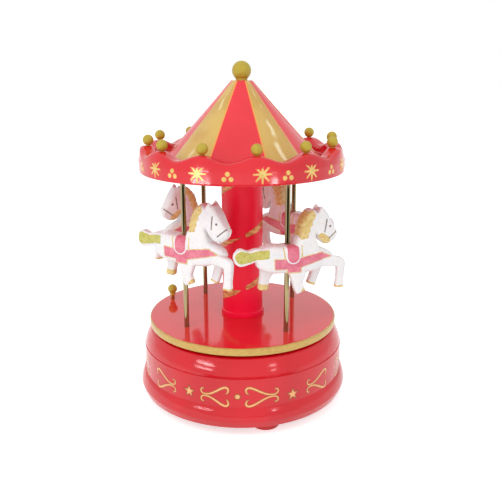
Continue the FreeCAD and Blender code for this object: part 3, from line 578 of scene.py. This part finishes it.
def make_turntable():
    flat_edge, past = deck_radius - 1.2, 2
    table = lathe(rounded([
        (arbor_hole, deck_low, 0), (flat_edge, deck_low, 0), (deck_radius, deck_low, 0.5),
        (deck_radius, deck_top, 0.6), (flat_edge, deck_top, 0), (hub_radius, deck_top, 0),
        (hub_radius, hub_top, 0), (arbor_hole, hub_top, 0)]), 256)
    bore = rod(stop_bore_radius, deck_low - past, deck_top + past, 32)
    bore = moved(bore, polar(stop_circle, stop_bearing))
    mesh = bored("deck", finished_mesh("deck_blank", table), finished_mesh("deck_bore", bore))
    show("deck", mesh, deck_look(), "carousel", ["turntable"])


def make_column():
    collar_top = deck_top + 2
    shell = lathe(rounded([
        (column_bore, deck_top, 0), (collar_radius, deck_top, 0.1), (collar_radius, collar_top, 0.35),
        (column_radius, collar_top + 0.5, 0.3), (column_radius, collar_top + 2, 0),
        (column_radius, ceiling_z, 0), (column_bore, ceiling_z, 0)]), 96)
    show_solid("column_shell", shell, crimson_with_painted_light(), "carousel", "column")


def make_crown(red):
    steps = crest_count * 24
    rim_outer = crown_radius - rim_lean
    rim_inner = rim_outer - rim_wall
    rings = []
    for i in range(steps):
        bearing = 360 * i / steps
        rim = rim_top + rim_wave * cos(radians(crest_count * (bearing - crest_bearing)))
        ring = rounded([
            (crown_bore, crown_low, 0.25), (crown_radius, crown_low, 0.4), (crown_radius, crown_low + 1, 0),
            (crown_radius - crown_lean, floor_top, 3), (rim_outer, rim, 2.2), (rim_inner, rim, 2.2),
            (rim_inner, floor_top, 0.6), (crown_hole, floor_top, 0), (crown_hole, ceiling_z, 0),
            (crown_bore, ceiling_z, 0.3)])
        rings.append(np.array([polar(r, bearing, z) for r, z in ring]))
    solid = np.concatenate(rings), ring_faces(steps, len(rings[0]))
    show_solid("crown_shell", solid, red, "carousel", "crown")


def make_balls():
    gold = gold_paint()
    bead = ball(bead_radius, 0.9, -bead_radius - 0.6)
    spots = around(bead_circle, crest_bearing, crest_count, crest_top + bead_radius)
    beads = together([moved(bead, spot) for spot in spots])
    show_solid("rim_beads", beads, gold, "carousel", "crown_beads")
    finial_radius = (finial_top - roof_top) / 2
    finial = moved(ball(finial_radius, 2.7, -finial_radius), (0, 0, roof_top + finial_radius))
    show_solid("finial_ball", finial, gold, "carousel", "finial")
    knob_low, knob_high = levels("stop_knob")
    knob_z = knob_high - stop_ball_radius
    knob = moved(ball(stop_ball_radius, 1.5, knob_low - knob_z), polar(stop_circle, stop_bearing, knob_z))
    show_solid("stop_ball", knob, gold, "stop_pin", "stop_knob")
    stem = moved(rod(stop_stem_radius, *levels("stop_rod"), 32), polar(stop_circle, stop_bearing))
    brass = polished_metal("stem_brass", (196, 152, 74), 0.25)
    show_solid("stop_stem", stem, brass, "stop_pin", "stop_rod")


def roof_look():
    """Red panels and raised gold panels with an orange edge line, and a painted highlight: a pale streak
    down the middle of each gold panel.
    """
    look = Look("roof_paint", specular_ior_level=0.5, coat_weight=0.2, coat_roughness=0.1)
    inside = look.field("panel")
    red = look.mottle(look.noise(40, 3), (226, 36, 50), (238, 44, 58))
    # Painted highlight: a pale streak that wanders down the middle of each gold panel, where a lamp would
    # be mirrored.
    off_painted_highlight = look.math("ABSOLUTE", look.math("ADD", look.field("share"), look.wander(60, 1.2)))
    patchy = look.span(look.noise(90, 2), 0.4, 0.6)
    painted_highlight = look.math("MULTIPLY", look.span(off_painted_highlight, 0.2, 0.03, 0, 0.8), patchy)
    gold = look.mottle(look.noise(50, 2), (204, 160, 78), (220, 184, 100))
    gold = look.mix(painted_highlight, gold, (252, 236, 190))
    gold = look.mix(look.span(inside, 0.35, 0.6), (250, 160, 76), gold)
    painted = look.span(inside, -0.06, 0.06)
    look.colour(look.mix(painted, red, gold))
    look.put(look.shader, "Metallic", look.span(painted, 0, 1, 0, 0.25))
    look.rough(look.noise(300, 2), 0.2, 0.3)
    look.bump(look.noise(800, 1), 0.04, 0.25)
    return look


def make_roof():
    """Cone with raised gold panels; its fields are the depth inside a panel and the share across."""
    rise, lip = 0.35, 0.3
    no_panel, no_depth = 9, -1
    slant = (roof_radius - roof_tip_radius) / (roof_top - floor_top)
    heights = np.linspace(floor_top, roof_top, 41)
    inner = ((roof_hole, roof_top), (roof_hole, floor_top + 12), (roof_radius - 3, floor_top))
    columns = []
    for i, (middle, angle) in enumerate(gold_panels):
        after, after_angle = gold_panels[(i + 1) % len(gold_panels)]
        gap = (after - after_angle / 2 - middle - angle / 2) % 360
        for share in np.linspace(-0.98, 0.98, 15):
            columns.append((middle + angle / 2 * share, angle / 2 * (1 - abs(share)), share))
        for share in np.linspace(0.02, 0.98, 13):
            columns.append((middle + angle / 2 + gap * share, -gap * min(share, 1 - share), no_panel))
    rings, depths, shares = [], [], []
    for bearing, inside, share in columns:
        ring = []
        for z in heights:
            r = roof_radius - slant * (z - floor_top)
            depth = radians(inside) * r
            ring.append(polar(r + rise * np.clip(depth / lip + 0.5, 0, 1), bearing, z))
            depths.append(depth)
        ring += [polar(r, bearing, z) for r, z in inner]
        depths += [no_depth] * len(inner)
        shares += [share] * len(ring)
        rings.append(np.array(ring))
    solid = np.concatenate(rings), ring_faces(len(rings), len(rings[0]))
    panel_crease = 30
    mesh = finished_mesh("roof_panels", solid, panel_crease, {"panel": depths, "share": shares})
    show("roof_panels", mesh, roof_look(), "carousel", ["roof_cone"])


def make_poles():
    brass = polished_metal("pole_brass", (166, 150, 110), 0.03)
    pole = rod(pole_radius, *levels("pole_1"), 48)
    for i, spot in enumerate(around(pole_circle, pole_bearing, pole_count), 1):
        node = "pole_%d" % i
        show_solid("brass_" + node, moved(pole, spot), brass, "carousel", node)


# Prints: thin foil shapes laid on a wall

def wall_at(radius_at, bearing, z_middle):
    """Map from a flat print (u to the right, v up, lift outwards) to a round wall."""
    def place(u, v, lift):
        z = z_middle + v
        radius = radius_at(z)
        return polar(radius + lift, bearing + degrees(u / radius), z)
    return place


def upright(radius):
    """Radius of an upright wall, the same at every level."""
    return lambda z: radius


def foil(place, flat, faces, rim, edge):
    """Closed thin foil over flat points; rim is their outline and edge their distances to it."""
    proud, sunk = 0.05, -0.08
    count = len(flat)
    points = [place(u, v, proud) for u, v in flat] + [place(u, v, sunk) for u, v in flat]
    sheets = list(faces) + [tuple(count + i for i in reversed(face)) for face in faces]
    for a, b in zip(rim, rim[1:] + rim[:1]):
        sheets.append((a, b, count + b, count + a))
    return (np.array(points), sheets), list(edge) + list(edge)


def stroke(place, points, widths, count):
    """Brush stroke along a curve with a width that changes along it."""
    line = spline(points, count)
    width = np.interp(np.linspace(0, 1, count + 1), np.linspace(0, 1, len(widths)), widths)
    along = np.gradient(line, axis=0)
    along /= norm(along, axis=1)[:, None]
    across = np.stack([-along[:, 1], along[:, 0]], 1)
    shares = (-1, -0.6, 0, 0.6, 1)
    flat, edge = [], []
    for i in range(count + 1):
        for share in shares:
            flat.append(line[i] + across[i] * share * width[i] / 2)
            edge.append((1 - abs(share)) * width[i] / 2 if 0 < i < count else 0)
    size = len(shares)
    last = count * size
    rim = [i * size for i in range(count + 1)] + [last + j for j in range(1, size)]
    rim += [i * size + size - 1 for i in range(count - 1, -1, -1)] + list(range(size - 2, 0, -1))
    return foil(place, flat, sheet_faces(count + 1, size), rim, edge)


def star(place, tips, outer, inner, blunt=0):
    """Star with tips blunted to a half width or, with inner equal to outer, a round dot."""
    ring_share, ring_edge, middle_edge = 0.55, 0.4, 0.7
    rim = []
    for i in range(tips):
        tip, notch = 2 * pi * i / tips, 2 * pi * (i + 0.5) / tips
        for way in ((-1, 1) if blunt else (0,)):
            angle = tip + way * atan(blunt / outer)
            rim.append((outer * sin(angle), outer * cos(angle)))
        rim.append((inner * sin(notch), inner * cos(notch)))
    count = len(rim)
    flat = rim + [(u * ring_share, v * ring_share) for u, v in rim] + [(0, 0)]
    edge = [0] * count + [ring_edge] * count + [middle_edge]
    faces = []
    for i in range(count):
        k = (i + 1) % count
        faces.append((i, count + i, count + k, k))
        faces.append((count + i, 2 * count, count + k))
    return foil(place, flat, faces, list(range(count)), edge)


def show_prints(name, prints, look, body):
    shapes, edges = zip(*prints)
    field = [value for edge in edges for value in edge]
    mesh = finished_mesh(name, together(shapes), fields={"edge": field})
    show(name, mesh, look, body)


def make_base_prints():
    """Three groups round the wall: a dot between two scroll hearts, then stars and two more hearts."""
    look = gold_print("base_foil", (238, 176, 114), (146, 80, 34))
    middle, group_count, first_dot = drum_low + 14.9, 3, -2.9
    dot_sides, dot_radius = 14, 1.5
    scroll = [(-0.1, 1.2), (-1.2, 2.3), (-1.3, 3.8), (0, 4.6), (2.3, 3.9), (5.2, 2.3), (8.1, 0.95),
              (10.2, 0.5), (12.2, 0.6), (13.3, 1.5), (13.2, 2.7), (12.2, 3.2), (11.7, 2.7)]
    widths = (0.6, 1.1, 1.35, 1.45, 1.45, 1.35, 1.25, 1.15, 1.1, 1.1, 1.05, 0.95, 0.6)
    # bearing of the lobes of each heart from the dot, the way from its lobes to its tail, and its stretch
    hearts = ((6, 1, 1), (-6.2, -1, 0.86), (53.6, -1, 0.92), (-50.2, 1, 0.92))
    # bearing of each star from the dot, and its level from the middle
    stars = ((29.9, -1.7), (-26.6, -0.3))
    wall = upright(wall_radius)
    prints = []
    for k in range(group_count):
        dot = first_dot + 360 / group_count * k
        prints.append(star(wall_at(wall, dot, middle), dot_sides, dot_radius, dot_radius))
        for bearing, level in stars:
            prints.append(star(wall_at(wall, dot + bearing, middle + level), 5, 3.1, 1.45, 0.2))
        for bearing, way, stretch in hearts:
            place = wall_at(wall, dot + bearing, middle - 0.3)
            for side in (-1, 1):
                points = [(way * u * stretch, side * v) for u, v in scroll]
                prints.append(stroke(place, points, widths, 72))
    show_prints("base_prints", prints, look, "base")


def make_crown_prints():
    """A star under each bead and three dots between the stars, not quite evenly stamped."""
    look = gold_print("crown_foil", (226, 196, 108), (246, 176, 104))
    strays = {-2: 1.6, -1: -0.4, 0: 1.9, 1: -0.9}
    star_middle, dots_middle = crown_low + 4.9, crown_low + 3.9
    dot_sides, dot_radius = 10, 1.05
    dots = ((0, 1.2), (-1.45, -0.9), (1.45, -0.9))
    prints = []

    def wall(z):
        share = np.clip((z - floor_top) / (rim_top - floor_top), 0, 1)
        return crown_radius - crown_lean * (z > floor_top) - (rim_lean - crown_lean) * share

    for k in range(-5, 7):
        crest = crest_bearing + crest_step * k
        prints.append(star(wall_at(wall, crest + strays.get(k, 0), star_middle), 8, 4, 1.3, 0.36))
        for u, v in dots:
            bearing = crest - crest_step / 2 + degrees(u / crown_radius)
            prints.append(star(wall_at(wall, bearing, dots_middle + v), dot_sides, dot_radius, dot_radius))
    show_prints("crown_prints", prints, look, "carousel")


def ribbon_look():
    """Gold from a dry brush: pale and brown streaks, thin towards the edges."""
    look = Look("ribbon_paint", metallic=0.2, specular_ior_level=0.5)
    streaks = look.span(look.noise(330, 3, 4), 0.38, 0.62)
    gold = look.mix(streaks, (190, 112, 52), (244, 182, 116))
    bare = look.math("MULTIPLY", look.noise(420, 3, 3), 0.9)
    covered = look.span(look.math("SUBTRACT", look.field("edge"), bare), -0.42, -0.2)
    look.colour(look.mix(covered, (214, 60, 50), gold))
    look.rough(streaks, 0.32, 0.5, (0, 1))
    look.bump(streaks, 0.04, 0.5)
    return look


def make_ribbon():
    """Gold brush strokes that wind up the column, one for each turn."""
    look = ribbon_look()
    pitch, start_bearing, start_level = 26.5, 5, 83.3
    lowest, highest = deck_top + 4.5, ceiling_z - 2.5
    widths = (2.2, 3.2, 3.4, 3.1, 3.4, 3.2, 3.4, 3.3, 3.1, 3.2, 2.8, 1.9, 0.3)
    turn_length = 2 * pi * column_radius
    prints = []
    for k in (-2, -1, 0, 1):
        low = start_level + pitch * k
        start = max(0.01, (lowest - low) / pitch)
        end = min(0.975, (highest - low) / pitch)
        points = [(turn_length * t, pitch * t) for t in np.linspace(start, end, len(widths))]
        prints.append(stroke(wall_at(upright(column_radius), start_bearing, low), points, widths, 96))
    show_prints("column_ribbon", prints, look, "carousel")


# Horses: a lofted, remeshed moulding with its paint kept as signed distances on the points.
# Each row is a section: length, height, tilt, half depth, half width and, for the legs, side.

trunk = [
    (-15.4, -6.6, 0, 1.4, 1.2), (-14, -6.4, 0, 4.4, 3.2), (-8.5, -6.6, 0, 6.5, 4.8), (0, -7.4, 0, 6.3, 4.9),
    (8, -7.4, 0, 6.8, 4.9), (14.4, -7.9, 0, 5.4, 4.4), (20.2, -7.9, 0, 2.9, 3.1), (22.2, -7.7, 0, 1.1, 1.4)]
neck = [
    (10, -6, 70, 8, 4.7), (9, -0.8, 76, 5.8, 4.5), (9.1, 3.8, 80, 3.9, 4.2), (10.5, 8.5, 74, 4.4, 4.2),
    (12.4, 12.6, 55, 3.4, 3.7)]
head = [
    (15.4, 13.2, -62, 2.6, 3.4), (15.9, 8.9, -60, 4.5, 4.1), (17.9, 4.9, -58, 4.7, 3.8),
    (19.4, 2.45, -56, 4.7, 3.3), (20.9, 0.8, -54, 4.2, 2.9), (21.6, -0.1, -54, 3, 2)]
mane = [
    (11.8, 13.2, 230, 1.1, 2.2), (10.7, 11.4, 232, 2.1, 3.4), (8.8, 8, 245, 2.5, 4.1),
    (7.4, 4.4, 262, 2.3, 4.3), (7.2, 2, 268, 1.4, 3)]
ear = [(15.2, 13.2, 88, 1.6, 1), (15.4, 14.9, 86, 1.1, 0.7), (15.5, 16.2, 86, 0.3, 0.25)]
tail = [
    (-11.6, -3.8, 184, 2.6, 1.6), (-15.5, -4.2, 186, 3, 2), (-18.6, -5, 184, 3.1, 2.1),
    (-22.2, -4.8, 174, 4.1, 2.2), (-24.3, -4.2, 168, 3.4, 1.8), (-25.5, -3.8, 168, 1.6, 0.9)]
near_fore = [
    (17, -9, -4, 3.4, 2.2, -2.2), (21.5, -9.8, -4, 2.5, 1.9, -3.2), (25, -10.8, -40, 2.6, 1.8, -3.5),
    (25.4, -14, -88, 2, 1.7, -3.6), (25.1, -18.8, -92, 1.9, 1.6, -3.6), (24.9, -22.6, -92, 2.2, 1.7, -3.6)]
far_fore = [
    (16.5, -9.5, -85, 3.2, 2.2, 2.4), (16.4, -14, -100, 2.4, 1.9, 3.4), (15.3, -18.2, -110, 2.1, 1.8, 3.8),
    (13.8, -22.2, -112, 2.2, 1.8, 3.8)]
near_hind = [
    (1, -9, -70, 5, 2.4, -2.4), (3.6, -14, -82, 4, 2, -3.5), (3.6, -18.4, -86, 2.6, 1.8, -3.7),
    (4.4, -21, -70, 2.5, 1.8, -3.7), (5.1, -22.7, -70, 2.4, 1.7, -3.7)]
far_hind = [
    (-7.4, -8, -95, 5.2, 2.6, 2.2), (-8.6, -13, -102, 3.5, 2.2, 3.2), (-9.6, -17.2, -100, 2.4, 1.9, 3.7),
    (-10.5, -22.2, -95, 2.3, 1.9, 3.7)]


def loft(rows, end=0.5):
    """Closed limb through flat-sided ovals, its ends rounded by a share of their half width."""
    flat, row_steps, sides = 2 / 4.4, 5, 24
    caps = (0.97, 0.8, 0.45)
    rows = np.array([tuple(row) + (0.0,) * (6 - len(row)) for row in rows])
    line = spline(rows, row_steps * (len(rows) - 1))
    turns = np.linspace(0, 2 * pi, sides, endpoint=False)
    deep, wide = (np.sign(wave) * np.abs(wave) ** flat for wave in (np.cos(turns), np.sin(turns)))

    def ring(row, size, shift):
        angle = radians(row[2])
        along = np.array([cos(angle), 0, sin(angle)])
        across = np.array([-sin(angle), 0, cos(angle)])
        centre = np.array([row[0], row[5], row[1]]) + along * shift
        return centre + size * (np.outer(deep * row[3], across) + np.outer(wide * row[4], (0, 1, 0)))

    def cap_ring(row, k, way):
        return ring(row, sqrt(1 - k * k), way * k * end * row[4])

    rings = [cap_ring(line[0], k, -1) for k in caps]
    rings += [ring(row, 1, 0) for row in line]
    rings += [cap_ring(line[-1], k, 1) for k in reversed(caps)]
    points = np.concatenate(rings)
    faces = ring_faces(len(rings), sides)[:(len(rings) - 1) * sides]
    faces.append(tuple(range(sides)))
    faces.append(tuple(len(points) - sides + i for i in range(sides)))
    return points, faces


def to_segment(spot, start, end):
    """Distances of points from a line between two points, and the shares along it."""
    start, end = np.array(start, float), np.array(end, float)
    run = end - start
    share = np.clip((spot - start) @ run / (run @ run), 0, 1)
    return norm(spot - start - share[:, None] * run, axis=1), share


def inside_outline(spot, outline):
    """Signed distance to a closed polygon, positive inside."""
    outline = np.array(outline, float)
    distance = np.full(len(spot), 1e9)
    crossings = np.zeros(len(spot), int)
    for start, end in zip(outline, np.roll(outline, -1, axis=0)):
        distance = np.minimum(distance, to_segment(spot, start, end)[0])
        passed = (start[1] <= spot[:, 1]) != (end[1] <= spot[:, 1])
        rise = np.where(passed, end[1] - start[1], 1.0)
        cut = start[0] + (spot[:, 1] - start[1]) / rise * (end[0] - start[0])
        crossings += passed & (spot[:, 0] < cut)
    return np.where(crossings % 2 == 1, distance, -distance)


# Signed distance of a point that is well outside a painted area
far_outside = -9.0


class Paint:
    """Layers of paint as signed distances in millimetres; a later one covers the others."""

    def __init__(self, count, names):
        self.fields = {name: np.full(count, far_outside) for name in names}

    def lay(self, name, *distances):
        """Lays a paint, or None to leave it bare, where all the distances are inside."""
        inside = np.minimum.reduce(distances)
        for other, field in self.fields.items():
            if other == name:
                np.maximum(field, inside, out=field)
            else:
                np.minimum(field, -inside, out=field)


def soft_step(value, width):
    share = np.clip(value / width + 0.5, 0, 1)
    return share * share * (3 - 2 * share)


def paint_horse(points, bridled):
    """Signed distances of the paint on a horse, and how far its raised trim stands out."""
    spot = points[:, (0, 2)]
    length, height = spot[:, 0], spot[:, 1]
    paint = Paint(len(points), ("pink", "gold", "line"))

    band_line = [(-8.3, -8.2), (1.4, -9), (7, -8), (15, -6.5), (19.8, -7.1)]
    half_heights = (2.6, 2.7, 2.4, 2, 0.3)
    band = np.full(len(points), far_outside)
    for i in range(len(band_line) - 1):
        near, share = to_segment(spot, band_line[i], band_line[i + 1])
        band = np.maximum(band, half_heights[i] + (half_heights[i + 1] - half_heights[i]) * share - near)
    band = np.minimum(band, length - band_line[0][0])
    girth_back, girth_front, girth_low, girth_high = -2, 5, -13.1, -9.5
    girth = np.minimum.reduce([
        length - girth_back, girth_front - length, girth_high - height, height - girth_low])
    trappings = np.maximum(band, girth)
    paint.lay("gold", trappings)
    paint.lay("pink", np.maximum(band - 0.4, girth - 0.5))

    line_half = 0.3
    for start, end in (((-3.6, -1.4), (-2.9, -6.2)), ((5.4, -0.8), (5.4, -6))):
        paint.lay("gold", line_half - to_segment(spot, start, end)[0])

    centre, half, turn_level, saddle_top, border = 1, 3.5, -5.3, -1, 0.65
    flap = np.where(height > turn_level, half - np.abs(length - centre),
                    half - np.hypot(length - centre, height - turn_level))
    paint.lay(None, flap)
    paint.lay("pink", flap - border, saddle_top - height)

    mane_line = [(11, 14.9), (12.3, 12.4), (11.6, 11), (10.5, 9.8), (10.6, 8.2), (9.5, 7.2), (9.5, 5.2),
                 (8.6, 4.2), (8.6, 2.4), (5, 1.9), (4.2, 4.7), (4.8, 8.3), (6.6, 11.5), (9.2, 14)]
    mane_inside = inside_outline(spot, mane_line)
    paint.lay("gold", mane_inside)

    tail_line = [(-10.4, -3.4), (-15.5, -4.2), (-18.6, -4.8), (-22.8, -4.4)]
    tail_near = np.minimum.reduce([to_segment(spot, a, b)[0] for a, b in zip(tail_line, tail_line[1:])])
    tail_width = np.interp(-length, (10, 18, 22.4, 25), (1.9, 2, 3, 2.6))
    tail_inside = np.where(length < -9.5, tail_width - tail_near, far_outside)
    paint.lay("gold", tail_inside, -10.2 - length)

    hoof_reach, side_gap = 6, 0.3
    for leg, hoof in ((near_fore, 1), (far_fore, 1), (far_hind, 2.8)):
        end, angle = leg[-1][:2], radians(leg[-1][2])
        along = (spot - end) @ (cos(angle), sin(angle))
        near = hoof_reach - norm(spot - end, axis=1)
        own_side = np.sign(leg[-1][5]) * points[:, 1] - side_gap
        paint.lay("gold", along + hoof, near, own_side)
    toe = inside_outline(spot, [(4.6, -23.6), (5.2, -21.6), (6.4, -20), (8.6, -21), (8.6, -23.6)])
    paint.lay("gold", toe, -side_gap - points[:, 1])

    cheek = np.abs(points[:, 1]) - 1
    if bridled:
        jaw = [(13.9, 2.7), (15, 4.2), (17.4, 3.2), (19.9, 1.3), (20.4, -0.6), (19.6, -2.4), (17, -1.5)]
        paint.lay("gold", inside_outline(spot, jaw), cheek)
    for start, end in (((17.65, 10.4), (16.8, 4.3)), ((23.6, 4.6), (19.5, 1.2))):
        paint.lay("line", line_half - to_segment(spot, start, end)[0], cheek)
    eye, eye_radius = (19.5, 6.9), 0.6
    paint.lay("line", eye_radius - norm(spot - eye, axis=1), cheek)

    raised = 0.4 * soft_step(flap, 0.9) + 0.25 * soft_step(trappings, 0.6)
    strands = np.sin(5.2 * (length * 0.55 + height * 0.35))
    raised += soft_step(mane_inside - 0.3, 0.8) * (0.25 + 0.12 * strands)
    ripples = np.sin(4.2 * height + 0.5 * length)
    raised += soft_step(tail_inside - 0.2, 0.8) * (0.1 + 0.1 * ripples)
    return paint.fields, raised


def horse_look():
    """Pearl white with pink trappings, gold mane, tail and hooves, and fine grey lines."""
    look = Look("horse_paint", specular_ior_level=0.5, coat_weight=0.15, coat_roughness=0.15,
                subsurface_weight=0.08, subsurface_scale=0.002)
    pearl = look.mottle(look.noise(120, 3), (240, 238, 240), (245, 242, 241))
    brush = look.noise(650, 3)
    brushed = look.span(brush, 0.3, 0.75)
    axes = look.axes()
    behind = look.span(axes["X"], -8 * MM, -9 * MM)
    on_tail = look.math("MULTIPLY", behind, look.span(axes["Z"], -14 * MM, -13 * MM))
    tail_gold = look.mix(brushed, (190, 184, 84), (212, 204, 110))
    gold = look.mix(on_tail, look.mix(brushed, (218, 186, 110), (236, 212, 146)), tail_gold)
    pink = look.mottle(look.noise(260, 3), (222, 106, 130), (236, 136, 154))
    wander = look.wander(900, 0.35)
    colour = pearl
    for field, over in (("gold", gold), ("pink", pink), ("line", (128, 112, 96))):
        edge = look.math("ADD", look.field(field), wander)
        colour = look.mix(look.span(edge, -0.08, 0.08), colour, over)
    look.colour(colour)
    look.rough(brush, 0.24, 0.36)
    look.bump(brush, 0.015, 0.2)
    return look


def horse_mesh(name, bridled):
    leg_end, ear_side, trim_crease = 0.15, 3, 60
    limbs = [loft(rows) for rows in (trunk, neck, head, mane, tail)]
    limbs += [loft(leg, leg_end) for leg in (near_fore, far_fore, near_hind, far_hind)]
    limbs += [loft([row + (side,) for row in ear]) for side in (ear_side, -ear_side)]
    points, normals, faces = remeshed(together(limbs))
    fields, raised = paint_horse(points, bridled)
    return finished_mesh(name, (points + normals * raised[:, None], faces), trim_crease, fields)


def make_horses():
    bridled = horse_mesh("bridled_horse", True)
    plain = horse_mesh("plain_horse", False)
    look = horse_look()
    for i, spot in enumerate(around(pole_circle, pole_bearing, pole_count)):
        seat = (spot + (0, 0, seat_levels[i])) * MM
        place = Matrix.Translation(seat) @ Matrix.Rotation(radians(headings[i]), 4, "Z")
        node = "horse_%d" % (i + 1)
        mesh = bridled if i in (0, 2) else plain
        show("painted_" + node, mesh, look, "carousel", [node], place)


# Inner pieces keep their CAD shape

def finish_inner_pieces():
    brass = polished_metal("movement_brass", (205, 170, 96), 0.22, 1)
    steel = polished_metal("bright_steel", (176, 178, 182), 0.2, 1)
    zinc = cast_metal()
    rubber = matt_moulding("pad_rubber", (34, 33, 33), 0.8)
    nylon = matt_moulding("bush_nylon", (226, 222, 208), 0.5)
    red = matt_moulding("plate_plastic", (176, 24, 34), 0.5)
    finishes = {"bottom_plate": red, "stop_pad": rubber}
    for look, names in (
            (nylon, ("cap_bush", "thrust_washer", "governor_fan")),
            (zinc, ("bedplate", "spring_barrel", "train_bracket")),
            (brass, ("pin_cylinder", "great_wheel", "cylinder_wheel", "worm_wheel", "cylinder_pinion",
                     "idler_pinion", "wheel_nut", "hub_nut"))):
        finishes.update(dict.fromkeys(names, look))
    for name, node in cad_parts.items():
        if node.hide_render:
            continue
        for holder in node.material_slots:
            holder.material = finishes.get(name, steel).material


# Studio: the places of the lamps and the camera are metres

white = (1, 1, 1, 1)


def make_floor():
    """Pale floor that is white to the camera and in reflections, and keeps the shadow."""
    bpy.ops.mesh.primitive_plane_add(size=8)
    floor = bpy.context.object
    floor.name = "studio_floor"
    look = Look("studio_floor", roughness=0.9, emission_color=white)
    look.colour(tint(244, 244, 244))
    look.put(look.shader, "Emission Strength", look.math("MULTIPLY", look.seen(), 0.6))
    floor.data.materials.append(look.material)


def make_world():
    """White sky, a little dimmer as a light than where it is seen or reflected."""
    lit_level, seen_level = 0.7, 1
    world = bpy.data.worlds.new("studio")
    bpy.context.scene.world = world
    nodes = Nodes(world)
    sky = nodes.tree.nodes["Background"]
    nodes.put(sky, "Color", white)
    nodes.put(sky, "Strength", nodes.span(nodes.seen(), 0, 1, lit_level, seen_level))


def make_cloth():
    """Dark cloth before the object, thin at its edges and seen only in reflections."""
    distances, shares = (250, 300, 450, 620, 700), (0, 1, 1, 1, 0)
    left, right, fade, height = -44, 60, 8, 1
    bearings = np.linspace(left, right, 24)
    points, cover = [], []
    for distance, share in zip(distances, shares):
        for bearing in bearings:
            points.append(polar(distance, bearing, height))
            cover.append(share * min(1, (bearing - left) / fade, (right - bearing) / fade))
    faces = sheet_faces(len(distances), len(bearings))
    mesh = finished_mesh("dark_cloth", (points, faces), fields={"cover": cover})
    look = matt_moulding("dark_cloth", (16, 15, 12), 0.9)
    clear = look.add("BsdfTransparent").outputs[0]
    blend = look.add("MixShader", {0: look.field("cover"), 1: clear, 2: look.shader.outputs[0]})
    look.put(look.tree.nodes["Material Output"], "Surface", blend.outputs[0])
    mesh.materials.append(look.material)
    cloth = placed("dark_cloth", mesh)
    cloth.visible_camera = False
    cloth.visible_diffuse = False
    cloth.visible_shadow = False


def softbox(name, bearing, distance, height, size, power, mirrored_in=None):
    """Light that faces the object, not mirrored or, for a collection, only mirrored in it."""
    aim = (0, 0, 0.09)
    light = bpy.data.lights.new(name, "AREA")
    light.shape = "RECTANGLE"
    light.size, light.size_y = size
    light.energy = power
    lamp = placed(name, light)
    spot = polar(distance, bearing, height)
    lamp.location = spot
    lamp.rotation_euler = Vector(spot - aim).to_track_quat("Z", "Y").to_euler()
    lamp.visible_camera = False
    lamp.visible_glossy = mirrored_in is not None
    lamp.visible_diffuse = mirrored_in is None
    lamp.light_linking.receiver_collection = mirrored_in


def make_lights():
    """Two soft boxes, a fill from the front, and low glints on the glossy shells only."""
    softbox("left_box", -40, 0.55, 0.62, (0.3, 0.3), 1.3)
    softbox("right_box", 40, 0.55, 0.62, (0.3, 0.3), 0.4)
    softbox("front_fill", -12, 0.8, 0.16, (0.6, 0.4), 1.1)
    shells = bpy.data.collections.new("glossy_shells")
    for name in ("drum_shell", "cap_shell", "crown_shell", "base_prints", "crown_prints"):
        shells.objects.link(bpy.data.objects[name])
    for height in (0.082, 0.127):
        softbox("left_glint", -40, 0.26, height, (0.085, 0.01), 0.05, shells)
        softbox("right_glint", 31, 0.26, height, (0.028, 0.01), 0.016, shells)


def make_camera():
    """Camera in front of the object, as high as the finial."""
    spot = (0, -0.30733, 0.16180)
    pitch, yaw, roll = radians(15.986), radians(0.7036), radians(-0.082)
    focal_pixels, frame_pixels, sensor = 643.14, 500, 36
    lens = bpy.data.cameras.new("camera")
    lens.sensor_width = sensor
    lens.lens = focal_pixels / frame_pixels * sensor
    lens.clip_start = 0.01
    camera = placed("camera", lens)
    camera.matrix_world = (
        Matrix.Translation(spot) @ Matrix.Rotation(-yaw, 4, "Z")
        @ Matrix.Rotation(pi / 2 - pitch, 4, "X") @ Matrix.Rotation(roll, 4, "Z"))
    bpy.context.scene.camera = camera


def main():
    # The base's red is darker than the crown's red: painted shade, as the lamps light the base more
    # strongly.
    make_base(red_plastic("shaded_base_plastic", (220, 16, 34)))
    make_turntable()
    make_column()
    make_crown(red_plastic("red_plastic", (226, 28, 42)))
    make_balls()
    make_roof()
    make_poles()
    make_base_prints()
    make_crown_prints()
    make_ribbon()
    make_horses()
    finish_inner_pieces()
    make_floor()
    make_world()
    make_cloth()
    make_lights()
    make_camera()
    bpy.context.scene.view_settings.view_transform = "Standard"


main()
